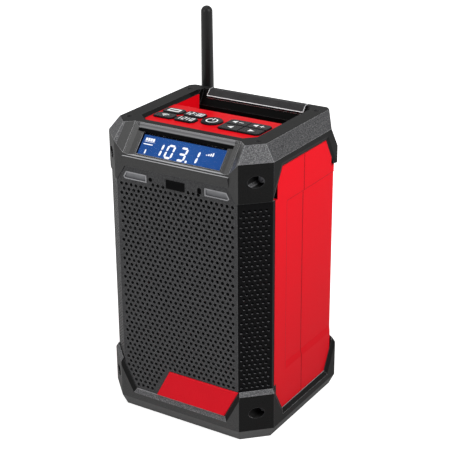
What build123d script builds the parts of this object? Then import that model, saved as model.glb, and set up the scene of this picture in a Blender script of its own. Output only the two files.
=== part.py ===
"""Jobsite radio: a tall speaker box in a protective frame, with a tilted display, a keypad,
a hand pocket behind the keys, a rear battery bay and a whip aerial.

Millimetres. X is to the listener's right, the grille faces -Y and Z is up. The origin is the
middle of the flat base, under the centre of the body.
"""
from build123d import *
import math
import os

# ---------------------------------------------------------------- body and general clearances
HEIGHT = 260.0              # base to the top of the upper frame
BODY_HALF = 79.0            # middle to a side panel
BODY_FRONT = 65.0           # middle to the face of the grille
BODY_REAR = 64.0            # middle to the rear wall
FRONT_CUT = 20.5            # 45 degree front corners
REAR_CUT = 6.0              # 45 degree rear corners
WALL = 2.5                  # moulded walls
GAP = 0.3                   # between neighbouring mouldings
SEAT = 0.1                  # between a piece and the seat it is fixed to
SPLIT_Y = 6.0               # parting line of the two housing halves
ROOT2 = math.sqrt(2.0)

# ---------------------------------------------------------------- lower frame
LOWER_SIDE_OUT = 3.0        # how far the lower frame stands out from the body
LOWER_FRONT_OUT = 2.2
LOWER_REAR_OUT = 5.5
LOWER_FRONT_CUT = 21.5
LOWER_CORNER_H = 46.8       # top of the corner guards
LOWER_TOP_BEVEL = 3.9       # height of the slanted strip round their tops
RAIL_H = 20.0               # top of the rails between them
FLOOR = 3.0
FOOT_BEVEL_H = 9.9          # slanted bottom edge
FOOT_BEVEL_IN = 4.5
LOWER_BAND = 4.2            # slanted band round each opening of the lower frame
LOWER_FRONT_TOP = BODY_HALF - 19.3  # half width of the front opening at the top of the guards
LOWER_FRONT_LOW = BODY_HALF - 33.5  # and at the rail
LOWER_SIDE_TOP = (22.2 - BODY_FRONT, BODY_REAR - 2.0)   # side opening at the top, front and rear
LOWER_SIDE_LOW = (37.4 - BODY_FRONT, BODY_REAR - 16.4)  # and at the rail
LOWER_REAR_TOP = BODY_HALF - 9.0
LOWER_REAR_LOW = BODY_HALF - 24.0
LOWER_SCREW_Z = 26.5

# ---------------------------------------------------------------- upper frame
UPPER_SIDE_OUT = 1.0
UPPER_FRONT_OUT = 0.6
UPPER_REAR_OUT = 4.0
UPPER_CORNER_H = 45.3       # the corner guards hang this far below the top
UPPER_SIDE_H = 20.0         # the side rails hang this far
UPPER_BAND = 3.2            # slanted band round each side opening
BAND_H = 12.4               # slanted band round the top
BAND_IN = 9.4
FRAME_WALL = 3.0
TOP_PLATE = 3.2
GROOVE_DROP = 12.4          # finger groove behind the handle: its deepest line below the top
GROOVE_END_DROP = 30.3      # where it runs out
GROOVE_IN = 9.6             # depth from the rear face
GROOVE_CORNER_IN = 8.2      # depth where it turns round the rear corners
TOP_REAR_IN = 1.0           # the handle's top edge lies this far inside the rear face
TOP_CORNER_IN = 5.9
UPPER_SIDE_TOP = (34.7 - BODY_FRONT, BODY_REAR - 21.2)  # side opening, front and rear, at its top
UPPER_SIDE_LOW = (20.5 - BODY_FRONT, BODY_REAR - 6.5)   # and at the ends of the guards
CHIN_H = 33.0               # lower edge of the chin under the display, below the top
CHIN_HALF = BODY_HALF - 29.5
LEG_HALF = BODY_HALF - 21.5         # half width of the front opening at the ends of the guards
UPPER_REAR_TOP = BODY_HALF - 23.0
UPPER_REAR_LOW = BODY_HALF - 15.0
UPPER_SCREW_DROP = 27.6
DIMPLE_R = 2.4              # shallow round dimples in the four corners of the top
DIMPLE_DEPTH = 0.8
DIMPLE_FRONT = (BODY_HALF - 16.5, 26.0 - BODY_FRONT)
DIMPLE_REAR = (BODY_HALF - 15.5, BODY_REAR - 10.5)

# ---------------------------------------------------------------- corner screws, run front to back
SCREW_HOLE_R = 4.9
SCREW_HEAD_R = 4.0
SCREW_HEAD_H = 3.0
SCREW_SOCKET_R = 2.2
SCREW_SOCKET_H = 2.0
SCREW_R = 2.0
SCREW_FREE = 0.1
BLOCK_X = BODY_HALF - 17.0  # inner face of the solid corner blocks
BLOCK_Y = 27.0 - BODY_FRONT         # rear face of them
SCREW_SEAT_Y = BLOCK_Y - 5.0
SCREW_END_Y = BLOCK_Y + 10.0
SCREW_BOSS_HALF = 8.0

# ---------------------------------------------------------------- display
RIM_TOP_Y = 18.6 - BODY_FRONT       # upper edge of the tilted display rim, at the top of the frame
RIM_LOW_Y = -2.6 - BODY_FRONT       # lower edge: the ridge, the foremost line of the radio
RIM_LOW_DROP = 23.8
RIM_HALF = BODY_HALF - 28.0
RIM_FLARE = 1.444           # the flanking facets open out by this much per unit of height
TRAY_RIM = 1.5
TRAY_DEPTH = 2.4
TRAY_EDGE = 1.5             # width of the ledge between the tray's slopes and the window
WINDOW_HALF = RIM_HALF - 10.5
WINDOW_TOP = 8.9            # along the slope from its middle
WINDOW_LOW = -10.6
WINDOW_SINK = 0.5
WINDOW_T = 1.2
DISPLAY_WALL = 6.5          # rim to the inside of the display wall
BOARD_T = 1.6
DISPLAY_BOARD_IN = 5.0      # the display's board is this much narrower than the rim, each side
DISPLAY_BOARD_LESS = 7.8    # and this much shorter than the slope

# ---------------------------------------------------------------- control deck and hand pocket
OPEN_HALF = BODY_HALF - 25.1        # opening in the top of the frame, at the foot of its bevel
OPEN_FRONT = 28.4 - BODY_FRONT
OPEN_CUT = 7.0
OPEN_BEVEL = 2.6
DECK_LAP = 2.2              # the deck's flange under the frame
DECK_STEP = 0.9             # face of the deck above the flange
DECK_T = 3.4
HANDLE_Y = BODY_REAR - 10.5         # front face of the handle wall
HANDLE_FACE_DROP = 13.0     # where that face starts to slope back
HANDLE_EDGE = (HANDLE_Y + 4.0, 7.5)         # lower front edge of the grip: place, drop
HANDLE_CREST = (HANDLE_Y + 8.0, 0.0)
POCKET_FRONT = HANDLE_Y - 38.5      # front edge of the hand pocket
POCKET_FLOOR_DROP = 44.0
GRIP_HALF = BODY_HALF - 30.5
GRIP_SEAT_DROP = 3.4
GRIP_SEAT_Y = HANDLE_Y + 8.5
GRIP_PROUD = 0.6            # how far the grip stands out of the handle's face
GRIP_LIP = 1.6              # height of its front lip
GRIP_LIP_LOW = 0.8          # the lip's lower edge above the handle's edge
POST = 4.0                  # square posts under the deck that carry the switch board
POST_IN = 3.0
POST_MID_X = 8.0

# ---------------------------------------------------------------- keys
KEY_TRAVEL = 1.2
KEY_RISE = 1.4              # above the deck
KEY_GAP = 0.35
KEY_FLANGE = 1.0
KEY_FLANGE_T = 1.4
KEY_CUT = 2.4
KEY_EDGE = 0.5              # chamfer round the top of a key
LEFT_KEY_D = 11.4
LEFT_KEY_SPACE = 1.5        # between the left keys, left to right
LEFT_ROW_SPACE = 2.6        # and front to back
LEFT_MARGIN = 2.6           # left keys to the edge of the deck
RIGHT_KEY_D = 12.0
RIGHT_KEY_SPACE = 0.4
RIGHT_ROW_SPACE = 1.2
RIGHT_MARGIN = 2.2
POWER_R = 9.2
POWER_X = 0.4
POWER_SPACE = 1.8           # left keys to the power key's round, measured from the middle
KEY_ROW_MID = (OPEN_FRONT + POCKET_FRONT) / 2 + 0.7
SWITCH_W = 6.0
SWITCH_H = 2.4
SWITCH_BUTTON_W = 3.2
SWITCH_BODY_H = 1.4
KEYPAD_BOARD_IN = 2.9       # switch board to the edges of the deck
KEYPAD_BOARD_FRONT = 3.6
KEYPAD_BOARD_REAR = 4.0

# ---------------------------------------------------------------- grille
GRILLE_T = 2.2
HOLE_PITCH = 14.0
HOLE_R = 4.2
HOLE_LOW = RAIL_H + 9.0     # lowest row of openings
HOLE_TOP = HEIGHT - 52.0
HOLE_EDGE = 5.0             # outermost hole centres to the bend and the guards
WING_COLUMNS = 2
CLOTH_T = 0.6
STATUS_IN = 28.6            # status windows: inner end, outer end, slant and heights
STATUS_OUT = CHIN_HALF - 1.1
STATUS_SLANT = 2.6
STATUS_NIP = 1.4            # small cut at the outer lower corner
STATUS_TOP_DROP = 37.9
STATUS_H = 5.8
STATUS_SINK = 0.4
PLATE_HALF = 9.0
PLATE_TOP_DROP = 37.4
PLATE_H = 7.6
PLATE_T = 0.8
PLATE_LEDGE = 2.0           # the plate's plug is smaller than its face by this, left and right
PLATE_LEDGE_H = 1.5         # and by this, top and bottom
PLATE_EDGE = 0.4
BADGE_TOP = 46.4
BADGE_LEFT = -10.2          # left end of its top edge
BADGE_T = 1.4
BADGE_EDGE = 0.6

# ---------------------------------------------------------------- side panels
FIELD_FRONT = 43.0 - BODY_FRONT     # shallow field in each side panel
FIELD_TOP = HEIGHT - 52.5
FIELD_LOW = LOWER_CORNER_H + 7.7
FIELD_IN = 1.0
FIELD_LEDGE = 6.0           # slanted lower ledge
HOUSING_TOP = HEIGHT - 17.0

# ---------------------------------------------------------------- speaker
SPEAKER_Z = (LOWER_CORNER_H + HEIGHT - UPPER_CORNER_H) / 2
SPEAKER_SIDES = 36          # facets of the speaker's round pieces
CONE_HOLE_R = 37.5
SPEAKER_R = 43.0
FLANGE_T = 2.0
BASKET_DEPTH = 21.0
BASKET_WALL = 1.6
BASKET_LAP = 1.0            # the flange reaches this far into the opening
BASKET_WINDOWS = 6
BASKET_WINDOW = (9.0, 10.0)
MAGNET_R = 24.0
MAGNET_T = 14.0
NECK_R = 8.0
CONE_R = 32.0               # cone, its neck and the dust cap
CONE_LOW_R = 10.0
CONE_DEPTH = 12.0
CONE_WALL = 1.2
SURROUND_T = 1.3
CAP_R = 7.0
CAP_H = 2.6

# ---------------------------------------------------------------- rear panel, battery bay, sockets
PANEL_HALF = BODY_HALF - 13.0
PANEL_LOW = LOWER_CORNER_H + 5.2
PANEL_TOP = HEIGHT - 47.0
PANEL_T = 2.3
PANEL_CUT = 8.0
PANEL_EDGE = 0.8
BAY_HALF = BODY_HALF - 49.0
BAY_LOW = PANEL_LOW + 18.0
BAY_TOP = HEIGHT - 80.0
BAY_DEPTH = 44.4
BAY_WALL = 2.0
BAY_LIP = 2.5               # the bay's flange behind the panel
RAIL_W = 2.0
RAIL_D = 4.0
RAIL_IN = 8.0               # rails for the battery pack, behind the panel's face
TERMINAL_HALF = 13.0
TERMINAL_D = 14.0
TERMINAL_H = 16.0
TERMINAL_EDGE = 1.5
TERMINAL_PITCH = 8.0
BLADE_L = 8.0
BLADE_T = 0.8
BLADE_W = 6.4
PORT_X = PANEL_HALF - 16.0
PORT_HALF = 11.0
PORT_TOP = HEIGHT - 86.0
PORT_H = 42.0
PORT_DEPTH = 9.0
PORT_WALL = 2.0
PORT_BACK = 5.0
USB_TOP_DROP = 10.0         # sockets: middles below the top of the recess
USB_W = 13.0
USB_H = 6.0
USB_TONGUE = (10.0, 1.6)
JACK_DROP = 22.0
JACK_R = 2.2
SUPPLY_DROP = 33.0
SUPPLY_R = 4.0
SUPPLY_PIN_R = 1.0
SOCKET_FLOOR = 0.8
DOOR_T = 2.0
DOOR_LAP = 2.0
DOOR_EDGE = 0.6
DOOR_GRIP = (14.0, 1.6, 1.2)        # finger lip at the door's foot: width, height, depth
DOOR_GRIP_UP = 2.4
HINGE_R = 1.9
HINGE_PIN_R = 1.0
HINGE_FREE = 0.05
LUG_W = 2.4
HINGE_Y_OUT = 2.3           # hinge axis behind the panel's face
REAR_OPEN_HALF = BODY_HALF - 28.0   # opening of the rear wall behind the panel
REAR_OPEN_LOW = BAY_LOW - 6.0
REAR_OPEN_TOP = HEIGHT - 62.0
REAR_SCREW_TOP = (BODY_HALF - 37.0, PANEL_TOP - 7.0)
REAR_SCREW_LOW = (BODY_HALF - 22.0, PANEL_LOW + 7.0)
REAR_SCREW_R = 1.5
REAR_HEAD_R = 3.0
REAR_HEAD_H = 1.8
REAR_CROSS = (3.4, 0.9, 1.1)        # cross in the screw heads: length, width, depth
BOARD_OUT = 10.0            # the main board is wider than the bay by this, each side
BOARD_LESS = 7.0            # and shorter than the bay by this, each end
CHIP = (16.0, 16.0)
CHIP_H = 2.4
CHIP_AT = (-12.0, 14.0)
COIL = (22.0, 12.0)
COIL_AT = (18.0, -20.0)

# ---------------------------------------------------------------- aerial
WHIP_X = 20.4 - BODY_HALF
WHIP_R = 6.1
WHIP_TIP_R = 5.2
WHIP_TOP = HEIGHT + 71.0
WHIP_EDGE = 0.6
WHIP_SIDES = 36
WHIP_CROWN = math.radians(50)   # where the tip's two bevels meet, up from its shoulder
WHIP_TIP_FLAT = 1.2
COLLAR_R = 5.2
COLLAR_H = 10.0
COLLAR_SIDES = 24
STUD_R = 3.0
STUD_L = 14.0
STUD_SPARE = 1.0
BOSS_H = 24.0
BOSS_R = 8.0

# ---------------------------------------------------------------- worked-out sizes
BAND_Z = HEIGHT - BAND_H
UPPER_LOW = HEIGHT - UPPER_CORNER_H
UPPER_HALF = BODY_HALF + UPPER_SIDE_OUT
UPPER_FRONT = BODY_FRONT + UPPER_FRONT_OUT
UPPER_REAR = BODY_REAR + UPPER_REAR_OUT
LOWER_HALF = BODY_HALF + LOWER_SIDE_OUT
LOWER_FRONT = BODY_FRONT + LOWER_FRONT_OUT
LOWER_REAR = BODY_REAR + LOWER_REAR_OUT
LOWER_EDGE_Z = LOWER_CORNER_H - LOWER_TOP_BEVEL
LOWER_SLANT = (LOWER_FRONT_TOP - LOWER_FRONT_LOW) / (LOWER_CORNER_H - RAIL_H)
UPPER_SCREW_X = UPPER_HALF - FRONT_CUT / 2
LOWER_SCREW_X = LOWER_HALF - LOWER_FRONT_CUT / 2
UPPER_SCREW_Z = HEIGHT - UPPER_SCREW_DROP
HOUSING_HALF = UPPER_HALF - FRAME_WALL - GAP
HOUSING_SET = GRILLE_T + GAP + CLOTH_T + GAP
HOUSING_FRONT = BODY_FRONT - HOUSING_SET
HOUSING_LOW = FOOT_BEVEL_H + GAP
DECK_Z = HEIGHT - OPEN_BEVEL
DECK_LOW = DECK_Z - DECK_T
FLANGE_TOP = DECK_Z - DECK_STEP
POCKET_FLOOR = HEIGHT - POCKET_FLOOR_DROP
PANEL_FACE = BODY_REAR + SEAT + PANEL_T
BAY_MID = (BAY_LOW + BAY_TOP) / 2
BAY_H = BAY_TOP - BAY_LOW
BAY_BACK = PANEL_FACE - BAY_DEPTH
PORT_LOW = PORT_TOP - PORT_H
PORT_MID = (PORT_LOW + PORT_TOP) / 2
DOOR_HALF = PORT_HALF + DOOR_LAP
HINGE_Y = PANEL_FACE + HINGE_Y_OUT
HINGE_Z = PORT_TOP + DOOR_LAP + HINGE_R
WHIP_Y = UPPER_REAR + GAP + WHIP_R
WHIP_LOW = PANEL_TOP + COLLAR_H
KEY_W = (OPEN_HALF - LEFT_MARGIN - LEFT_KEY_SPACE - POWER_R - POWER_SPACE) / 2
LEFT_KEY_X = (LEFT_MARGIN + KEY_W / 2 - OPEN_HALF, -POWER_R - POWER_SPACE - KEY_W / 2)
RIGHT_KEY_X = (OPEN_HALF - RIGHT_MARGIN - 1.5 * KEY_W - RIGHT_KEY_SPACE,
               OPEN_HALF - RIGHT_MARGIN - KEY_W / 2)
LEFT_ROW = (LEFT_KEY_D + LEFT_ROW_SPACE) / 2
RIGHT_ROW = (RIGHT_KEY_D + RIGHT_ROW_SPACE) / 2
KEY_LOW = DECK_LOW - SEAT - KEY_FLANGE_T
KEY_BOARD_TOP = KEY_LOW - KEY_TRAVEL - GAP - SWITCH_H
FOOT_ANGLE = math.degrees(math.atan2(FOOT_BEVEL_IN, FOOT_BEVEL_H))
RIM_SLOPE = math.hypot(RIM_TOP_Y - RIM_LOW_Y, RIM_LOW_DROP)
DISPLAY = Plane(
    origin=(0, (RIM_TOP_Y + RIM_LOW_Y) / 2, HEIGHT - RIM_LOW_DROP / 2),
    x_dir=(1, 0, 0),
    z_dir=(0, -RIM_LOW_DROP, RIM_TOP_Y - RIM_LOW_Y),
)


def plan(half, front, rear, front_cut, rear_cut):
    """Corners of the eight-sided outline seen from above."""
    return [
        (-half, front_cut - front), (front_cut - half, -front),
        (half - front_cut, -front), (half, front_cut - front),
        (half, rear - rear_cut), (half - rear_cut, rear),
        (rear_cut - half, rear), (-half, rear - rear_cut),
    ]


def body_plan(inset):
    """The body's outline, moved inwards by inset on every side."""
    less = inset * (2 - ROOT2)
    return plan(BODY_HALF - inset, BODY_FRONT - inset, BODY_REAR - inset,
                FRONT_CUT - less, REAR_CUT - less)


def housing_plan(inset):
    """The housing's outline: it follows the grille in front and carries the side panels."""
    half = HOUSING_HALF - inset
    front = HOUSING_FRONT - inset
    corner = BODY_HALF + BODY_FRONT - FRONT_CUT - (HOUSING_SET + inset) * ROOT2
    less = inset * (2 - ROOT2)
    return plan(half, front, BODY_REAR - inset, half + front - corner, REAR_CUT - less)


def corner_plane(side_x, side_y):
    """Upright plane through the axis: its x runs out through a corner at 45 degrees."""
    return Plane(origin=(0, 0, 0), x_dir=(side_x, side_y, 0), z_dir=(side_y, -side_x, 0))


def side_profile(top_pair, low_pair, top_z, low_z):
    """Four corners of a side opening in the YZ plane."""
    return [(low_pair[0], low_z), (top_pair[0], top_z), (top_pair[1], top_z), (low_pair[1], low_z)]


def opening_cutter(plane, outline, band, depth, beyond):
    """Tool for an opening: its outline on the plane at depth, wider by band at the outer plane."""
    with BuildPart(mode=Mode.PRIVATE) as cutter:
        with BuildSketch(plane):
            Polygon(*outline, align=None)
            offset(amount=band, kind=Kind.INTERSECTION)
        with BuildSketch(plane.offset(depth)):
            Polygon(*outline, align=None)
        loft(ruled=True)
        with BuildSketch(plane.offset(depth)):
            Polygon(*outline, align=None)
        extrude(amount=beyond)
    return cutter.part


def export(builder, name):
    """Label a finished piece and write it."""
    builder.part.label = name
    export_step(builder.part, f"parts/{name}.step")


os.makedirs("parts", exist_ok=True)

# ================================================================ lower frame
with BuildPart() as lower_space:
    with BuildSketch(Plane.XY.offset(FOOT_BEVEL_H)):
        Polygon(*plan(BODY_HALF + GAP, BODY_FRONT + SEAT + SEAT, PANEL_FACE + GAP,
                      FRONT_CUT, REAR_CUT), align=None)
    extrude(amount=LOWER_CORNER_H)
    with BuildSketch(Plane.XY.offset(FOOT_BEVEL_H)):
        Polygon(*plan(BODY_HALF + GAP, BODY_FRONT + SEAT + SEAT, PANEL_FACE + GAP,
                      FRONT_CUT, REAR_CUT), align=None)
    extrude(amount=FLOOR - FOOT_BEVEL_H, taper=FOOT_ANGLE)
    with BuildSketch(Plane.XY):
        for side in (-1, 1):
            with Locations((side * BODY_HALF, BLOCK_Y - BODY_FRONT)):
                Rectangle(2 * (BODY_HALF - BLOCK_X), 2 * BODY_FRONT)
    extrude(amount=HEIGHT, mode=Mode.SUBTRACT)

with BuildPart() as lower_frame:
    with BuildSketch(Plane.XY.offset(FOOT_BEVEL_H)):
        Polygon(*plan(LOWER_HALF, LOWER_FRONT, LOWER_REAR, LOWER_FRONT_CUT, REAR_CUT), align=None)
    extrude(amount=LOWER_EDGE_Z - FOOT_BEVEL_H)
    with BuildSketch(Plane.XY.offset(LOWER_EDGE_Z)):
        Polygon(*plan(LOWER_HALF, LOWER_FRONT, LOWER_REAR, LOWER_FRONT_CUT, REAR_CUT), align=None)
    with BuildSketch(Plane.XY.offset(LOWER_CORNER_H)):
        Polygon(*plan(BODY_HALF + 2 * GAP, BODY_FRONT + 2 * GAP, PANEL_FACE + 2 * GAP,
                      FRONT_CUT, REAR_CUT), align=None)
    loft(ruled=True)
    with BuildSketch(Plane.XY.offset(FOOT_BEVEL_H)):
        Polygon(*plan(LOWER_HALF, LOWER_FRONT, LOWER_REAR, LOWER_FRONT_CUT, REAR_CUT), align=None)
    extrude(amount=-FOOT_BEVEL_H, taper=FOOT_ANGLE)
    add(lower_space.part, mode=Mode.SUBTRACT)
    # openings above the rails, each with a slanted band round it
    top = LOWER_CORNER_H + FOOT_BEVEL_H
    rise = (top - RAIL_H) / (LOWER_CORNER_H - RAIL_H)
    front_top = LOWER_FRONT_LOW + (top - RAIL_H) * LOWER_SLANT
    add(opening_cutter(Plane.XZ.offset(LOWER_FRONT),
                       [(-LOWER_FRONT_LOW, RAIL_H), (LOWER_FRONT_LOW, RAIL_H),
                        (front_top, top), (-front_top, top)],
                       LOWER_BAND, SEAT + SEAT - LOWER_FRONT_OUT, -LOWER_FRONT_CUT / 2),
        mode=Mode.SUBTRACT)
    side_top = [low + rise * (high - low) for low, high in zip(LOWER_SIDE_LOW, LOWER_SIDE_TOP)]
    for side in (-1, 1):
        add(opening_cutter(Plane.YZ.offset(side * LOWER_HALF),
                           side_profile(side_top, LOWER_SIDE_LOW, top, RAIL_H),
                           LOWER_BAND, side * (GAP - LOWER_SIDE_OUT), -side * GAP),
            mode=Mode.SUBTRACT)
    with BuildSketch(Plane.XZ.offset(-LOWER_REAR)):
        Polygon((-LOWER_REAR_LOW, RAIL_H), (LOWER_REAR_LOW, RAIL_H),
                (LOWER_REAR_TOP, LOWER_CORNER_H), (-LOWER_REAR_TOP, LOWER_CORNER_H), align=None)
    extrude(amount=LOWER_REAR_OUT + REAR_CUT, mode=Mode.SUBTRACT)
    # screw wells
    with BuildSketch(Plane.XZ.offset(-SCREW_SEAT_Y)):
        with Locations((-LOWER_SCREW_X, LOWER_SCREW_Z), (LOWER_SCREW_X, LOWER_SCREW_Z)):
            Circle(SCREW_HOLE_R)
    extrude(amount=LOWER_FRONT, mode=Mode.SUBTRACT)
    with BuildSketch(Plane.XZ.offset(-SCREW_SEAT_Y)):
        with Locations((-LOWER_SCREW_X, LOWER_SCREW_Z), (LOWER_SCREW_X, LOWER_SCREW_Z)):
            Circle(SCREW_R + SCREW_FREE)
    extrude(amount=2 * (SCREW_SEAT_Y - BLOCK_Y), mode=Mode.SUBTRACT)
export(lower_frame, "lower_frame")

# ================================================================ upper frame
with BuildPart() as upper_space:
    lean = (BAND_H - TOP_PLATE) * BAND_IN / BAND_H
    inner = UPPER_HALF - FRAME_WALL
    with BuildSketch(Plane.XZ.offset(UPPER_FRONT - FRAME_WALL)):
        Polygon((-inner, UPPER_LOW - FRAME_WALL), (inner, UPPER_LOW - FRAME_WALL),
                (inner, BAND_Z - FRAME_WALL), (inner - lean, HEIGHT - TOP_PLATE),
                (lean - inner, HEIGHT - TOP_PLATE), (-inner, BAND_Z - FRAME_WALL), align=None)
    extrude(amount=-(UPPER_FRONT - FRAME_WALL + HANDLE_Y))
    with BuildSketch(Plane.XY.offset(UPPER_LOW - FRAME_WALL)):
        for side in (-1, 1):
            with Locations((side * BODY_HALF, BLOCK_Y - BODY_FRONT)):
                Rectangle(2 * (BODY_HALF - BLOCK_X), 2 * BODY_FRONT)
    extrude(amount=HEIGHT, mode=Mode.SUBTRACT)
    with BuildSketch(DISPLAY.offset(-DISPLAY_WALL)):
        Rectangle(4 * BODY_HALF, 4 * RIM_SLOPE)
    extrude(amount=HEIGHT, mode=Mode.SUBTRACT)

with BuildPart() as upper_frame:
    with BuildSketch(Plane.XY.offset(UPPER_LOW)):
        Polygon(*plan(UPPER_HALF, UPPER_FRONT, UPPER_REAR, FRONT_CUT, REAR_CUT), align=None)
    extrude(amount=UPPER_CORNER_H)
    # slanted band along the sides and round the front corners
    over = 2.0
    for side in (-1, 1):
        with BuildSketch(Plane.XZ):
            Polygon((side * UPPER_HALF, BAND_Z),
                    (side * (UPPER_HALF - BAND_IN), HEIGHT),
                    (side * (UPPER_HALF - BAND_IN * (1 + over)), HEIGHT + over * BAND_H),
                    (side * (UPPER_HALF + BAND_IN), HEIGHT + over * BAND_H),
                    (side * (UPPER_HALF + BAND_IN), BAND_Z), align=None)
        extrude(amount=HEIGHT, both=True, mode=Mode.SUBTRACT)
        front_out = (UPPER_HALF + UPPER_FRONT - FRONT_CUT) / ROOT2
        with BuildSketch(corner_plane(side, -1)):
            Polygon((front_out, BAND_Z),
                    (front_out - BAND_IN, HEIGHT),
                    (front_out - BAND_IN * (1 + over), HEIGHT + over * BAND_H),
                    (front_out + BAND_IN, HEIGHT + over * BAND_H),
                    (front_out + BAND_IN, BAND_Z), align=None)
        extrude(amount=BODY_FRONT, both=True, mode=Mode.SUBTRACT)
        # finger groove where it turns round the rear corners
        rear_out = (UPPER_HALF + UPPER_REAR - REAR_CUT) / ROOT2
        with BuildSketch(corner_plane(side, 1)):
            Polygon((rear_out - TOP_CORNER_IN, HEIGHT),
                    (rear_out - GROOVE_CORNER_IN, HEIGHT - GROOVE_DROP),
                    (rear_out, HEIGHT - GROOVE_END_DROP),
                    (rear_out + GROOVE_IN, HEIGHT - GROOVE_END_DROP),
                    (rear_out + GROOVE_IN, HEIGHT), align=None)
        extrude(amount=BODY_REAR / 2, both=True, mode=Mode.SUBTRACT)
    # finger groove behind the handle
    with BuildSketch(Plane.YZ):
        Polygon((UPPER_REAR - TOP_REAR_IN, HEIGHT),
                (UPPER_REAR - GROOVE_IN, HEIGHT - GROOVE_DROP),
                (UPPER_REAR, HEIGHT - GROOVE_END_DROP),
                (UPPER_REAR + GROOVE_IN, HEIGHT - GROOVE_END_DROP),
                (UPPER_REAR + GROOVE_IN, HEIGHT), align=None)
    extrude(amount=2 * BODY_HALF, both=True, mode=Mode.SUBTRACT)
    # display recess between the two front corner guards
    with BuildSketch(Plane(origin=DISPLAY.origin, x_dir=(1, 0, 0), z_dir=-DISPLAY.y_dir)):
        Polygon((-RIM_HALF, 0), (RIM_HALF, 0),
                (RIM_HALF + RIM_FLARE * RIM_SLOPE, RIM_SLOPE),
                (-RIM_HALF - RIM_FLARE * RIM_SLOPE, RIM_SLOPE), align=None)
    extrude(amount=2 * RIM_SLOPE, both=True, mode=Mode.SUBTRACT)
    # chin under the display
    with BuildSketch(Plane.YZ):
        Polygon((RIM_LOW_Y, HEIGHT - RIM_LOW_DROP),
                (-UPPER_FRONT, HEIGHT - CHIN_H),
                (FRAME_WALL - UPPER_FRONT, HEIGHT - CHIN_H),
                (FRAME_WALL - UPPER_FRONT, HEIGHT - RIM_LOW_DROP), align=None)
    extrude(amount=RIM_HALF, both=True)
    # tray and window opening
    with BuildSketch(DISPLAY):
        Rectangle(2 * (RIM_HALF - TRAY_RIM), RIM_SLOPE - 2 * TRAY_RIM)
    with BuildSketch(DISPLAY.offset(-TRAY_DEPTH)):
        with Locations((0, (WINDOW_TOP + WINDOW_LOW) / 2)):
            Rectangle(2 * (WINDOW_HALF + TRAY_EDGE), WINDOW_TOP - WINDOW_LOW + 2 * TRAY_EDGE)
    loft(ruled=True, mode=Mode.SUBTRACT)
    with BuildSketch(DISPLAY):
        with Locations((0, (WINDOW_TOP + WINDOW_LOW) / 2)):
            Rectangle(2 * WINDOW_HALF, WINDOW_TOP - WINDOW_LOW)
    extrude(amount=-2 * DISPLAY_WALL, mode=Mode.SUBTRACT)
    add(upper_space.part, mode=Mode.SUBTRACT)
    # opening in the top, with a bevel, and the front of the handle
    with BuildSketch(Plane.XY.offset(DECK_Z)):
        Polygon((-OPEN_HALF, OPEN_FRONT + OPEN_CUT), (OPEN_CUT - OPEN_HALF, OPEN_FRONT),
                (OPEN_HALF - OPEN_CUT, OPEN_FRONT), (OPEN_HALF, OPEN_FRONT + OPEN_CUT),
                (OPEN_HALF, HANDLE_Y), (-OPEN_HALF, HANDLE_Y), align=None)
    extrude(amount=OPEN_BEVEL, taper=-45, mode=Mode.SUBTRACT)
    with BuildSketch(Plane.XY.offset(DECK_Z)):
        Polygon((-OPEN_HALF, OPEN_FRONT + OPEN_CUT), (OPEN_CUT - OPEN_HALF, OPEN_FRONT),
                (OPEN_HALF - OPEN_CUT, OPEN_FRONT), (OPEN_HALF, OPEN_FRONT + OPEN_CUT),
                (OPEN_HALF, HANDLE_Y), (-OPEN_HALF, HANDLE_Y), align=None)
    extrude(amount=-TOP_PLATE, mode=Mode.SUBTRACT)
    with BuildSketch(Plane.YZ):
        Polygon((HANDLE_Y, HEIGHT - HANDLE_FACE_DROP),
                (HANDLE_EDGE[0], HEIGHT - HANDLE_EDGE[1]),
                (HANDLE_CREST[0], HEIGHT - HANDLE_CREST[1]),
                (HANDLE_Y, HEIGHT), align=None)
    extrude(amount=OPEN_HALF, both=True, mode=Mode.SUBTRACT)
    with BuildSketch(Plane.YZ):
        Polygon((HANDLE_EDGE[0], HEIGHT - HANDLE_EDGE[1]),
                (GRIP_SEAT_Y, HEIGHT - GRIP_SEAT_DROP),
                (UPPER_REAR, HEIGHT - GRIP_SEAT_DROP),
                (UPPER_REAR, HEIGHT),
                (HANDLE_EDGE[0], HEIGHT), align=None)
    extrude(amount=GRIP_HALF + SEAT, both=True, mode=Mode.SUBTRACT)
    # edges of the guards: the side openings have a slanted band
    below = UPPER_LOW - UPPER_SIDE_H
    fall = (HEIGHT - UPPER_SIDE_H - below) / (HEIGHT - UPPER_SIDE_H - UPPER_LOW)
    side_low = [high + fall * (low - high) for high, low in zip(UPPER_SIDE_TOP, UPPER_SIDE_LOW)]
    for side in (-1, 1):
        add(opening_cutter(Plane.YZ.offset(side * UPPER_HALF),
                           side_profile(UPPER_SIDE_TOP, side_low, HEIGHT - UPPER_SIDE_H, below),
                           UPPER_BAND, -side * UPPER_SIDE_OUT, -side * (FRAME_WALL - GAP)),
            mode=Mode.SUBTRACT)
    with BuildSketch(Plane.XZ.offset(UPPER_FRONT)):
        Polygon((-LEG_HALF, UPPER_LOW), (LEG_HALF, UPPER_LOW),
                (CHIN_HALF, HEIGHT - CHIN_H), (-CHIN_HALF, HEIGHT - CHIN_H), align=None)
    extrude(amount=-FRAME_WALL, mode=Mode.SUBTRACT)
    with BuildSketch(Plane.XZ.offset(-UPPER_REAR)):
        Polygon((-UPPER_REAR_LOW, UPPER_LOW), (UPPER_REAR_LOW, UPPER_LOW),
                (UPPER_REAR_TOP, HEIGHT - GROOVE_END_DROP),
                (-UPPER_REAR_TOP, HEIGHT - GROOVE_END_DROP), align=None)
    extrude(amount=UPPER_REAR_OUT + WALL + GAP, mode=Mode.SUBTRACT)
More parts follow.
